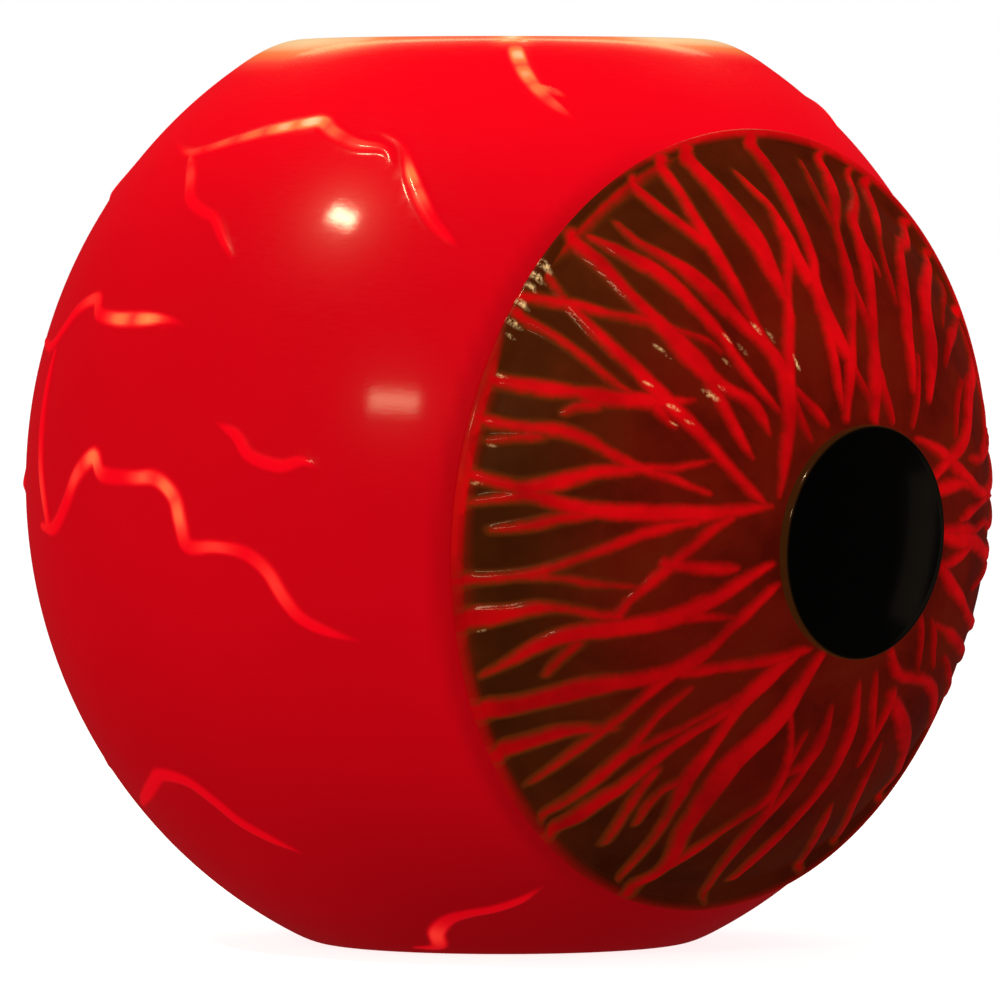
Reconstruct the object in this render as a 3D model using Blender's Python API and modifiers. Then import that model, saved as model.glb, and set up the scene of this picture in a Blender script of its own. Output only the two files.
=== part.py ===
"""Glowing eyeball floor lamp: a moulded translucent ball with a bulging iris and a black pupil,
lit from inside by a sealed light and battery unit that is screwed into its base.

Metres, +Z up. The origin is the centre of the base, where the lamp stands. The eye looks along -Y,
tilted slightly down. Run with: blender --background --python part.py
"""

import math

import bmesh
import bpy
from mathutils import Matrix, Vector

# ---- Ball ----------------------------------------------------------------------------------
BALL_HALF_WIDTH = 0.200
BALL_HALF_HEIGHT = 0.2096
SHELL_WALL = 0.004
TOP_FLAT_RADIUS = 0.0925
SHOULDER_DROP = 0.012
SHOULDER_CORNER = 0.009
STANDING_RING_WIDTH = 0.014

# ---- Eye -----------------------------------------------------------------------------------
EYE_TILT = math.radians(5.0)
IRIS_SEAT_RADIUS = 0.1516
IRIS_BULGE = 0.0855
IRIS_WALL = 0.003
IRIS_RIM_THICKNESS = 0.0035
IRIS_RIM_OVERHANG = 0.002
IRIS_GASKET_THICKNESS = 0.0014
HOOK_COUNT = 8
HOOK_WIDTH = 0.012
HOOK_THICKNESS = 0.003
HOOK_CLEARANCE = 0.0028
HOOK_BARB = 0.0053
PUPIL_RADIUS = 0.0455
PUPIL_THICKNESS = 0.004
PUPIL_EDGE = 0.0015
STUD_RADIUS = 0.003
STUD_LENGTH = 0.014
PUPIL_PAD_MARGIN = 0.003
PUPIL_WASHER_RADIUS = 0.009
PUPIL_WASHER_THICKNESS = 0.0012
PUPIL_NUT_RADIUS = 0.0058
PUPIL_NUT_THICKNESS = 0.005

# ---- Light and battery unit ----------------------------------------------------------------
RECESS_DEPTH = 0.010
HOUSING_RADIUS = 0.054
HOUSING_TOP = 0.062
HOUSING_WALL = 0.0025
FLANGE_WIDTH = 0.011
FLANGE_THICKNESS = 0.003
SEAL_THICKNESS = 0.0014
FLANGE_SCREWS = 6
FIRST_FLANGE_SCREW = math.radians(12.0)
COVER_SCREWS = 4
BOSS_RADIUS = 0.0042
BOSS_HEIGHT = 0.015
FOOT_RADIUS = 0.012
FOOT_SEAT_DEPTH = 0.001
POST_RADIUS = 0.003
POST_HEIGHT = 0.0074
BOARD_RADIUS = 0.041
BOARD_THICKNESS = 0.0016
CONTROLS_RADIUS = 0.030
BUTTON_RADIUS = 0.006
BUTTON_STANDS_OUT = 0.0025
BUTTON_COLLAR = 0.0018
BUTTON_TRAVEL = 0.0012
SPRING_RADIUS = 0.0053
SPRING_WIRE_RADIUS = 0.00035
SPRING_TURNS = 4
SWITCH_SIDE = 0.006
SWITCH_HEIGHT = 0.0035
INDICATOR_RADIUS = 0.002
SOCKET_RADIUS = 0.0052
SOCKET_BORE = 0.0032
SOCKET_PIN = 0.001
PORT_COVER_RADIUS = 0.007
PORT_COVER_THICKNESS = 0.0025
PORT_PIVOT_STEP = math.radians(38.0)
CELL_RADIUS = 0.0092
CELL_LENGTH = 0.065
CELL_COUNT = 3
CRADLE_WALL = 0.002
CRADLE_EAR = 0.008
LED_COUNT = 8
LED_CIRCLE = 0.030
LED_SIDE = 0.005
LED_HEIGHT = 0.0016
DIFFUSER_RADIUS = 0.047
DIFFUSER_HEIGHT = 0.038
DIFFUSER_WALL = 0.0025
DIFFUSER_SCREWS = 3
LEAD_RADIUS = 0.0013

# ---- Fits and screws -----------------------------------------------------------------------
GAP = 0.0003
LOOSE = 0.001
HOUSING_CLEARANCE = 0.002
HOLE_CLEARANCE = 0.0003
FLANGE_SCREW = {"shank": 0.0017, "head": 0.0033, "head_height": 0.002}
SMALL_SCREW = {"shank": 0.00125, "head": 0.0024, "head_height": 0.0017}
OVERLAP = 0.0006

SMOOTH_ANGLE = math.radians(35.0)
BALL_STEPS = 48
FINE_STEPS = 36
SMALL_STEPS = 20
HOLE_STEPS = 12
TINY_STEPS = 10

# ---- Sizes that follow from those above ----------------------------------------------------
EYE_STRETCH = BALL_HALF_HEIGHT / BALL_HALF_WIDTH
FLANGE_RADIUS = HOUSING_RADIUS + FLANGE_WIDTH
RECESS_RADIUS = FLANGE_RADIUS + LOOSE
BASE_FLAT_RADIUS = RECESS_RADIUS + STANDING_RING_WIDTH


def ball_height_at(radius, half_width, half_height):
    """Height of the ball's surface above its centre at this distance from its upright axis."""
    return half_height * math.sqrt(1.0 - (radius / half_width) ** 2)


CENTRE_HEIGHT = ball_height_at(BASE_FLAT_RADIUS, BALL_HALF_WIDTH, BALL_HALF_HEIGHT)
TOP_RISE = ball_height_at(TOP_FLAT_RADIUS, BALL_HALF_WIDTH, BALL_HALF_HEIGHT)
FLANGE_TOP = RECESS_DEPTH + FLANGE_THICKNESS
RECESS_CEILING = FLANGE_TOP + GAP + SEAL_THICKNESS + GAP
COVER_RADIUS = HOUSING_RADIUS - HOUSING_WALL - GAP
COVER_TOP = FLANGE_TOP
HOUSING_CEILING = HOUSING_TOP - HOUSING_WALL
BOARD_BOTTOM = COVER_TOP + POST_HEIGHT + GAP
BOARD_TOP = BOARD_BOTTOM + BOARD_THICKNESS
SCREW_CIRCLE = HOUSING_RADIUS - HOUSING_WALL + OVERLAP - BOSS_RADIUS
FLANGE_SCREW_CIRCLE = (HOUSING_RADIUS + HOUSING_CLEARANCE + RECESS_RADIUS) / 2
LED_BOARD_BOTTOM = HOUSING_TOP + GAP
LED_BOARD_TOP = LED_BOARD_BOTTOM + BOARD_THICKNESS
LED_BOARD_RADIUS = DIFFUSER_RADIUS - LOOSE
DIFFUSER_FOOT = LED_BOARD_TOP + GAP + 0.0012
IRIS_SEAT = math.sqrt(BALL_HALF_WIDTH**2 - IRIS_SEAT_RADIUS**2)
IRIS_RIM_BOTTOM = IRIS_SEAT + GAP + IRIS_GASKET_THICKNESS + GAP
IRIS_RIM_TOP = IRIS_RIM_BOTTOM + IRIS_RIM_THICKNESS
IRIS_APEX = IRIS_SEAT + IRIS_BULGE
IRIS_EDGE = IRIS_SEAT_RADIUS - 0.0036
INNER_OPENING = math.sqrt((BALL_HALF_WIDTH - SHELL_WALL) ** 2 - IRIS_SEAT**2)
DOME_RISE = IRIS_APEX - IRIS_RIM_TOP
DOME_RADIUS = (IRIS_EDGE**2 + DOME_RISE**2) / (2 * DOME_RISE)
DOME_CENTRE = IRIS_APEX - DOME_RADIUS
PAD_RADIUS = PUPIL_WASHER_RADIUS + PUPIL_PAD_MARGIN
PAD_HEIGHT = DOME_CENTRE + math.sqrt((DOME_RADIUS - IRIS_WALL) ** 2 - PAD_RADIUS**2)


def opening_shift():
    """How far the tilted opening's centre lies off the eye's axis, because the ball is taller than wide."""
    across, up = BALL_HALF_WIDTH**-2, BALL_HALF_HEIGHT**-2
    sine, cosine = math.sin(EYE_TILT), math.cos(EYE_TILT)
    return -IRIS_SEAT * sine * cosine * (across - up) / (across * sine**2 + up * cosine**2)


# ---- Helpers -------------------------------------------------------------------------------
def clear_scene():
    for obj in list(bpy.data.objects):
        bpy.data.objects.remove(obj, do_unlink=True)


def make_collection(name, hidden=False):
    collection = bpy.data.collections.new(name)
    bpy.context.scene.collection.children.link(collection)
    collection.hide_render = hidden
    return collection


def make_material(name, color, roughness, metallic=0.0):
    material = bpy.data.materials.new(name)
    material.use_nodes = True
    shader = material.node_tree.nodes["Principled BSDF"]
    shader.inputs["Base Color"].default_value = (*color, 1.0)
    shader.inputs["Roughness"].default_value = roughness
    shader.inputs["Metallic"].default_value = metallic
    material.diffuse_color = (*color, 1.0)
    return material


class Builder:
    """Adds pieces and cutters to their collections, under the eye's or the lamp's own frame."""

    def __init__(self):
        self.parts = make_collection("glow_eyeball_lamp")
        self.cutters = make_collection("cutters", hidden=True)
        self.eye = bpy.data.objects.new("eye_axis", None)
        turn = Matrix.Rotation(math.pi / 2 + EYE_TILT, 4, "X")
        shift = Matrix.Translation((0, opening_shift(), 0))
        self.eye.matrix_world = Matrix.Translation((0, 0, CENTRE_HEIGHT)) @ turn @ shift
        self.parts.objects.link(self.eye)

    def add(self, name, mesh, material):
        """A sub-part, or a cutter where the material is None."""
        obj = bpy.data.objects.new(name, mesh)
        if material is None:
            obj.hide_render = True
            obj.display_type = "WIRE"
            self.cutters.objects.link(obj)
            return obj
        mesh.materials.append(material)
        self.parts.objects.link(obj)
        return obj

    def on_eye(self, obj, stretched=True):
        """Hangs a piece on the eye's axis. A stretched piece is as tall as the ball is."""
        obj.parent = self.eye
        if stretched:
            obj.scale = (1.0, EYE_STRETCH, 1.0)
        return obj

    def turned(self, name, profile, material, steps=FINE_STEPS, at=(0, 0, 0)):
        """A body turned about Z from (radius, height) points that run down its outer side."""
        mesh = bpy.data.meshes.new(name)
        shape = bmesh.new()
        points = [shape.verts.new((radius, 0, height)) for radius, height in profile]
        for first, second in zip(points, points[1:]):
            shape.edges.new((first, second))
        if profile[0][0] > 0:
            shape.edges.new((points[-1], points[0]))
        shape.to_mesh(mesh)
        shape.free()
        obj = self.add(name, mesh, material)
        obj.location = at
        screw = obj.modifiers.new("turn", "SCREW")
        screw.steps = screw.render_steps = steps
        screw.use_merge_vertices = True
        screw.merge_threshold = 0.00001
        screw.use_smooth_shade = False
        return obj

    def cylinder(self, name, radius, low, high, material, x=0.0, y=0.0, steps=SMALL_STEPS):
        mesh = bpy.data.meshes.new(name)
        shape = bmesh.new()
        bmesh.ops.create_cone(
            shape,
            cap_ends=True,
            segments=steps,
            radius1=radius,
            radius2=radius,
            depth=high - low,
            matrix=Matrix.Translation((0, 0, (low + high) / 2)),
        )
        shape.to_mesh(mesh)
        shape.free()
        obj = self.add(name, mesh, material)
        obj.location = (x, y, 0)
        return obj

    def box(self, name, low, high, material, bevel=0.0):
        mesh = bpy.data.meshes.new(name)
        shape = bmesh.new()
        bmesh.ops.create_cube(shape, size=1.0)
        size = Vector(high) - Vector(low)
        bmesh.ops.scale(shape, vec=size, verts=shape.verts)
        bmesh.ops.translate(shape, vec=Vector(low) + size / 2, verts=shape.verts)
        shape.to_mesh(mesh)
        shape.free()
        obj = self.add(name, mesh, material)
        if bevel:
            edge = obj.modifiers.new("edges", "BEVEL")
            edge.width = bevel
            edge.segments = 1
        return obj

    def cut(self, obj, cutter):
        boolean = obj.modifiers.new("cut " + cutter.name, "BOOLEAN")
        boolean.operation = "DIFFERENCE"
        boolean.object = cutter
        return obj

    def join(self, obj, other):
        boolean = obj.modifiers.new("join " + other.name, "BOOLEAN")
        boolean.operation = "UNION"
        boolean.object = other
        return obj

    def drill(self, obj, radius, low, high, places, name, steps=HOLE_STEPS):
        """Cuts a round upright hole through a piece at each of these (x, y) places."""
        for number, (x, y) in enumerate(places, 1):
            cutter = self.cylinder(f"{name}_{number}", radius, low, high, None, x, y, steps)
            self.cut(obj, cutter)

    def screw(self, name, size, seat, tip, material, x, y):
        """A pan-head screw upright at (x, y). Its head starts at the seat and its shank ends at the
        tip, above or below it. The head has a round driver recess."""
        way = 1 if tip > seat else -1
        head, shank = size["head"], size["shank"]
        outer = seat - way * size["head_height"]
        recess = outer + way * size["head_height"] * 0.6
        drive = head * 0.45
        profile = [
            (0, tip),
            (shank, tip),
            (shank, seat),
            (head, seat),
            (head, seat - way * size["head_height"] * 0.5),
            (head * 0.75, outer),
            (drive, outer),
            (drive, recess),
            (0, recess),
        ]
        if way < 0:
            profile.reverse()
        return self.turned(name, profile, material, TINY_STEPS, (x, y, 0))


def on_circle(radius, count, start=0.0):
    """Evenly spaced (x, y) places on a circle round the lamp's axis."""
    turns = [start + 2 * math.pi * i / count for i in range(count)]
    return [(radius * math.cos(turn), radius * math.sin(turn)) for turn in turns]


def arc(centre_height, radius, half_height, first, last, count):
    """Points of a half ellipse about the axis, from one angle above the horizontal to another."""
    angles = [first + (last - first) * i / count for i in range(count + 1)]
    return [
        (radius * math.cos(angle), centre_height + half_height * math.sin(angle))
        for angle in angles
    ]


def shoulder(flat_radius, flat_rise, sign):
    """The full, rounded edge between a flat and the ball, from the flat outward."""
    side_rise = flat_rise - SHOULDER_DROP
    side_radius = BALL_HALF_WIDTH * math.sqrt(1.0 - (side_rise / BALL_HALF_HEIGHT) ** 2)
    ends = (flat_radius, flat_rise), (flat_radius + SHOULDER_CORNER, flat_rise)
    points = []
    count = 4
    for i in range(count):
        t = i / count
        near, corner, far = (1 - t) ** 2, 2 * t * (1 - t), t**2
        radius = near * ends[0][0] + corner * ends[1][0] + far * side_radius
        rise = near * ends[0][1] + corner * ends[1][1] + far * side_rise
        points.append((radius, CENTRE_HEIGHT + sign * rise))
    angle = math.asin(side_rise / BALL_HALF_HEIGHT)
    return points, angle


# ---- Ball shell ----------------------------------------------------------------------------
def shell_profile():
    top_edge, top_angle = shoulder(TOP_FLAT_RADIUS, TOP_RISE, 1)
    base_edge, base_angle = shoulder(BASE_FLAT_RADIUS, CENTRE_HEIGHT, -1)
    side = arc(CENTRE_HEIGHT, BALL_HALF_WIDTH, BALL_HALF_HEIGHT, top_angle, -base_angle, 18)
    outside = [(0, CENTRE_HEIGHT + TOP_RISE)] + top_edge + side + base_edge[::-1]
    hole = HOUSING_RADIUS + HOUSING_CLEARANCE
    recess = [
        (RECESS_RADIUS, 0),
        (RECESS_RADIUS, RECESS_CEILING),
        (hole, RECESS_CEILING),
        (hole, RECESS_CEILING + SHELL_WALL),
        (RECESS_RADIUS + SHELL_WALL, RECESS_CEILING + SHELL_WALL),
        (RECESS_RADIUS + SHELL_WALL, SHELL_WALL),
    ]
    half_width = BALL_HALF_WIDTH - SHELL_WALL
    half_height = BALL_HALF_HEIGHT - SHELL_WALL
    floor_angle = math.asin((CENTRE_HEIGHT - SHELL_WALL) / half_height)
    roof_angle = math.asin((TOP_RISE - SHELL_WALL) / half_height)
    inside = arc(CENTRE_HEIGHT, half_width, half_height, -floor_angle, roof_angle, 20)
    return outside + recess + inside + [(0, CENTRE_HEIGHT + TOP_RISE - SHELL_WALL)]


def build_shell(build, glow_red):
    shell = build.turned("eyeball_shell", shell_profile(), glow_red, BALL_STEPS)
    width = BALL_HALF_WIDTH * 1.2
    seat = build.cylinder("eye_opening", width, IRIS_SEAT, IRIS_SEAT + width, None)
    build.cut(shell, build.on_eye(seat))
    places = on_circle(FLANGE_SCREW_CIRCLE, FLANGE_SCREWS, FIRST_FLANGE_SCREW)
    radius = FLANGE_SCREW["shank"] + HOLE_CLEARANCE
    high = RECESS_CEILING + 2 * SHELL_WALL
    build.drill(shell, radius, RECESS_DEPTH, high, places, "shell_screw_hole")


# ---- Iris and pupil ------------------------------------------------------------------------
def dome_points(offset, first_radius, last_radius, count):
    """Points of the iris dome's sphere, moved out by an offset, between two distances from its axis."""
    radius = DOME_RADIUS + offset
    first = math.acos(first_radius / radius)
    last = math.acos(last_radius / radius)
    return arc(DOME_CENTRE, radius, radius, first, last, count)


def hook_outline():
    """One snap hook's (radius, height) outline. It hangs behind the rim and catches the shell's lip."""
    outer = INNER_OPENING - HOOK_CLEARANCE
    inner = outer - HOOK_THICKNESS
    lip = IRIS_SEAT - SHELL_WALL - 3 * LOOSE
    tip = lip - 0.007
    root = IRIS_RIM_BOTTOM + IRIS_RIM_THICKNESS / 2
    return [
        (inner, root),
        (inner, tip),
        (outer, tip),
        (outer + HOOK_BARB, lip - 0.003),
        (outer + HOOK_BARB, lip),
        (outer, lip),
        (outer, root),
    ]


def make_hooks(build):
    mesh = bpy.data.meshes.new("iris_hooks")
    shape = bmesh.new()
    for number in range(HOOK_COUNT):
        turn = Matrix.Rotation(2 * math.pi * (number + 0.5) / HOOK_COUNT, 4, "Z")
        points = [Vector((r, -HOOK_WIDTH / 2, h)) for r, h in hook_outline()]
        face = shape.faces.new([shape.verts.new(turn @ point) for point in points])
        grown = bmesh.ops.extrude_face_region(shape, geom=[face])["geom"]
        moved = [item for item in grown if isinstance(item, bmesh.types.BMVert)]
        bmesh.ops.translate(shape, vec=turn.to_3x3() @ Vector((0, HOOK_WIDTH, 0)), verts=moved)
    bmesh.ops.recalc_face_normals(shape, faces=shape.faces)
    shape.to_mesh(mesh)
    shape.free()
    return build.on_eye(build.add("iris_hooks", mesh, None))


def build_iris(build, iris_red, rubber, black_gloss, steel):
    hole = STUD_RADIUS + HOLE_CLEARANCE
    rim = IRIS_SEAT_RADIUS + IRIS_RIM_OVERHANG
    inner = INNER_OPENING - HOOK_CLEARANCE - HOOK_THICKNESS
    inner_angle = math.acos(inner / (DOME_RADIUS - IRIS_WALL))
    pad_angle = math.acos(PAD_RADIUS / (DOME_RADIUS - IRIS_WALL))
    under = arc(
        DOME_CENTRE,
        DOME_RADIUS - IRIS_WALL,
        DOME_RADIUS - IRIS_WALL,
        inner_angle,
        pad_angle,
        7,
    )
    pad = [(hole, PAD_HEIGHT)]
    profile = (
        dome_points(0, hole, IRIS_EDGE, 9)
        + [
            (rim - 0.001, IRIS_RIM_TOP),
            (rim, IRIS_RIM_TOP - 0.001),
            (rim, IRIS_RIM_BOTTOM + 0.001),
            (rim - 0.001, IRIS_RIM_BOTTOM),
            (inner, IRIS_RIM_BOTTOM),
        ]
        + under
        + pad
    )
    iris = build.on_eye(build.turned("iris_dome", profile, iris_red, BALL_STEPS))
    build.join(iris, make_hooks(build))

    low = IRIS_SEAT + GAP
    high = low + IRIS_GASKET_THICKNESS
    ring = [
        (IRIS_SEAT_RADIUS, high),
        (IRIS_SEAT_RADIUS, low),
        (INNER_OPENING + LOOSE, low),
        (INNER_OPENING + LOOSE, high),
    ]
    build.on_eye(build.turned("iris_gasket", ring, rubber, BALL_STEPS))
    build_pupil(build, black_gloss, steel)


def build_pupil(build, black_gloss, steel):
    edge_rise = DOME_CENTRE + math.sqrt((DOME_RADIUS + GAP) ** 2 - PUPIL_RADIUS**2)
    flank = PUPIL_RADIUS - PUPIL_EDGE
    crown = DOME_CENTRE + math.sqrt((DOME_RADIUS + PUPIL_THICKNESS) ** 2 - flank**2)
    top = dome_points(PUPIL_THICKNESS, 0, flank, 4)
    back = dome_points(GAP, PUPIL_RADIUS, STUD_RADIUS, 4)[1:]
    stud_end = IRIS_APEX - STUD_LENGTH
    profile = (
        top
        + [
            (PUPIL_RADIUS - PUPIL_EDGE * 0.3, crown - PUPIL_EDGE * 0.3),
            (PUPIL_RADIUS, crown - PUPIL_EDGE),
            (PUPIL_RADIUS, edge_rise),
        ]
        + back
        + [(STUD_RADIUS, stud_end), (0, stud_end)]
    )
    profile[0] = (0, profile[0][1])
    build.on_eye(build.turned("pupil_cap", profile, black_gloss))

    hole = STUD_RADIUS * max(1.0, EYE_STRETCH) + HOLE_CLEARANCE
    washer_high = PAD_HEIGHT - GAP
    washer_low = washer_high - PUPIL_WASHER_THICKNESS
    ring = [
        (PUPIL_WASHER_RADIUS, washer_high),
        (PUPIL_WASHER_RADIUS, washer_low),
        (hole, washer_low),
        (hole, washer_high),
    ]
    build.on_eye(build.turned("pupil_washer", ring, steel, SMALL_STEPS), stretched=False)

    nut_high = washer_low - GAP
    nut_low = nut_high - PUPIL_NUT_THICKNESS
    nut = build.cylinder("pupil_nut", PUPIL_NUT_RADIUS, nut_low, nut_high, steel, steps=6)
    bore = build.cylinder("nut_bore", hole, nut_low - LOOSE, nut_high + LOOSE, None)
    build.on_eye(nut, stretched=False)
    build.cut(nut, build.on_eye(bore, stretched=False))


# ---- Base housing --------------------------------------------------------------------------
def build_housing(build, housing_plastic, rubber, steel):
    inside = HOUSING_RADIUS - HOUSING_WALL
    profile = [
        (0, HOUSING_TOP),
        (HOUSING_RADIUS, HOUSING_TOP),
        (HOUSING_RADIUS, FLANGE_TOP),
        (FLANGE_RADIUS, FLANGE_TOP),
        (FLANGE_RADIUS, RECESS_DEPTH),
        (inside, RECESS_DEPTH),
        (inside, HOUSING_CEILING),
        (0, HOUSING_CEILING),
    ]
    housing = build.turned("base_housing", profile, housing_plastic)
    flange_places = on_circle(FLANGE_SCREW_CIRCLE, FLANGE_SCREWS, FIRST_FLANGE_SCREW)
    radius = FLANGE_SCREW["shank"] + HOLE_CLEARANCE
    low, high = RECESS_DEPTH - LOOSE, FLANGE_TOP + LOOSE
    build.drill(housing, radius, low, high, flange_places, "flange_hole")

    cover_places = on_circle(SCREW_CIRCLE, COVER_SCREWS, math.pi / 4)
    boss_low = COVER_TOP + GAP
    boss_high = boss_low + BOSS_HEIGHT
    for number, (x, y) in enumerate(cover_places, 1):
        boss = build.cylinder(f"boss_{number}", BOSS_RADIUS, boss_low, boss_high, None, x, y)
        build.join(housing, boss)
    small = SMALL_SCREW["shank"] + HOLE_CLEARANCE
    build.drill(housing, small, boss_low - LOOSE, boss_high - 2 * LOOSE, cover_places, "boss_hole")
    build.drill(
        housing,
        small,
        HOUSING_CEILING - LOOSE,
        HOUSING_TOP + LOOSE,
        diffuser_screw_places() + cradle_screw_places(),
        "roof_hole",
    )
    lead_hole = LEAD_RADIUS + LOOSE
    places = [lead_place()]
    build.drill(housing, lead_hole, HOUSING_CEILING - LOOSE, HOUSING_TOP + LOOSE, places, "lead_hole")

    seal_low = FLANGE_TOP + GAP
    seal_high = seal_low + SEAL_THICKNESS
    ring = [
        (FLANGE_RADIUS - GAP, seal_high),
        (FLANGE_RADIUS - GAP, seal_low),
        (HOUSING_RADIUS + HOUSING_CLEARANCE, seal_low),
        (HOUSING_RADIUS + HOUSING_CLEARANCE, seal_high),
    ]
    seal = build.turned("housing_seal", ring, rubber)
    build.drill(seal, radius, seal_low - LOOSE, seal_high + LOOSE, flange_places, "seal_hole")

    seat = RECESS_DEPTH - GAP
    tip = RECESS_CEILING + SHELL_WALL - LOOSE
    for number, (x, y) in enumerate(flange_places, 1):
        build.screw(f"flange_screw_{number}", FLANGE_SCREW, seat, tip, steel, x, y)
    tip = boss_high - 4 * LOOSE
    for number, (x, y) in enumerate(cover_places, 1):
        build.screw(f"cover_screw_{number}", SMALL_SCREW, seat, tip, steel, x, y)


# ---- Base cover and what it carries --------------------------------------------------------
def button_place():
    return (CONTROLS_RADIUS, 0.0)


def socket_place():
    return (-CONTROLS_RADIUS, 0.0)


def pivot_place():
    turn = math.pi + PORT_PIVOT_STEP
    return (CONTROLS_RADIUS * math.cos(turn), CONTROLS_RADIUS * math.sin(turn))


def indicator_place():
    return (CONTROLS_RADIUS * math.cos(0.8), -CONTROLS_RADIUS * math.sin(0.8))


def post_places():
    return on_circle(CONTROLS_RADIUS, 3, math.radians(95.0))[:1] + [
        (CONTROLS_RADIUS * math.cos(math.radians(turn)), CONTROLS_RADIUS * math.sin(math.radians(turn)))
        for turn in (-78.0, 148.0)
    ]


def build_cover(build, cover_plastic, rubber, steel):
    cover = build.cylinder(
        "base_cover", COVER_RADIUS, RECESS_DEPTH, COVER_TOP, cover_plastic, steps=FINE_STEPS
    )
    for number, (x, y) in enumerate(post_places(), 1):
        low, high = COVER_TOP - OVERLAP, COVER_TOP + POST_HEIGHT
        build.join(cover, build.cylinder(f"post_{number}", POST_RADIUS, low, high, None, x, y))
    small = SMALL_SCREW["shank"] + HOLE_CLEARANCE
    through = (RECESS_DEPTH - LOOSE, COVER_TOP + LOOSE)
    build.drill(cover, small, COVER_TOP + LOOSE, BOARD_TOP, post_places(), "post_hole")
    places = on_circle(SCREW_CIRCLE, COVER_SCREWS, math.pi / 4)
    build.drill(cover, small, *through, places, "cover_hole")
    hole = BUTTON_RADIUS + GAP
    build.drill(cover, hole, *through, [button_place()], "button_hole", SMALL_STEPS)
    hole = SOCKET_BORE + LOOSE
    build.drill(cover, hole, *through, [socket_place()], "socket_hole", SMALL_STEPS)
    build.drill(cover, small, *through, [pivot_place()], "pivot_hole")
    hole = INDICATOR_RADIUS + GAP
    build.drill(cover, hole, *through, [indicator_place()], "indicator_hole", SMALL_STEPS)
    seat = RECESS_DEPTH + FOOT_SEAT_DEPTH
    hole = FOOT_RADIUS + GAP
    build.drill(cover, hole, RECESS_DEPTH - LOOSE, seat, [(0, 0)], "foot_seat", SMALL_STEPS)

    high = seat - GAP
    foot = [
        (0, high),
        (FOOT_RADIUS, high),
        (FOOT_RADIUS, 0.001),
        (FOOT_RADIUS - 0.001, 0),
        (0, 0),
    ]
    build.turned("base_foot", foot, rubber, SMALL_STEPS)

    seat = BOARD_TOP + GAP
    for number, (x, y) in enumerate(post_places(), 1):
        tip = COVER_TOP + 2 * LOOSE
        build.screw(f"board_screw_{number}", SMALL_SCREW, seat, tip, steel, x, y)


def build_button(build, button_plastic, steel, black_plastic):
    x, y = button_place()
    collar_low = COVER_TOP + GAP
    collar_high = collar_low + 0.0012
    switch_low = BOARD_BOTTOM - GAP - SWITCH_HEIGHT
    stem_top = switch_low - GAP - BUTTON_TRAVEL
    low = RECESS_DEPTH - BUTTON_STANDS_OUT
    profile = [
        (0, stem_top),
        (0.002, stem_top),
        (0.002, collar_high),
        (BUTTON_RADIUS + BUTTON_COLLAR, collar_high),
        (BUTTON_RADIUS + BUTTON_COLLAR, collar_low),
        (BUTTON_RADIUS, collar_low),
        (BUTTON_RADIUS, low + 0.0008),
        (BUTTON_RADIUS - 0.0008, low),
        (BUTTON_RADIUS * 0.6, low + 0.0003),
        (0, low + 0.0006),
    ]
    build.turned("power_button", profile, button_plastic, SMALL_STEPS, (x, y, 0))

    half = SWITCH_SIDE / 2
    high = BOARD_BOTTOM - GAP
    plunger = 0.001
    build.box(
        "button_switch",
        (x - half, y - half, switch_low + plunger),
        (x + half, y + half, high),
        black_plastic,
    )
    nub = build.cylinder(
        "switch_plunger", 0.0016, switch_low, switch_low + plunger + OVERLAP, None, x, y, TINY_STEPS
    )
    build.join(bpy.data.objects["button_switch"], nub)
    build_spring(build, steel, x, y, collar_high + GAP, BOARD_BOTTOM - GAP)


def build_spring(build, steel, x, y, low, high):
    """The button's return spring, as a coil of wire between its collar and the board."""
    curve = bpy.data.curves.new("button_spring", "CURVE")
    curve.dimensions = "3D"
    curve.bevel_depth = SPRING_WIRE_RADIUS
    curve.bevel_resolution = 2
    curve.use_fill_caps = True
    spline = curve.splines.new("POLY")
    per_turn = 12
    count = SPRING_TURNS * per_turn
    spline.points.add(count)
    first, last = low + SPRING_WIRE_RADIUS, high - SPRING_WIRE_RADIUS
    for i, point in enumerate(spline.points):
        turn = 2 * math.pi * i / per_turn
        height = first + (last - first) * i / count
        point.co = (SPRING_RADIUS * math.cos(turn), SPRING_RADIUS * math.sin(turn), height, 1)
    obj = bpy.data.objects.new("button_spring", curve)
    obj.location = (x, y, 0)
    curve.materials.append(steel)
    build.parts.objects.link(obj)


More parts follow.
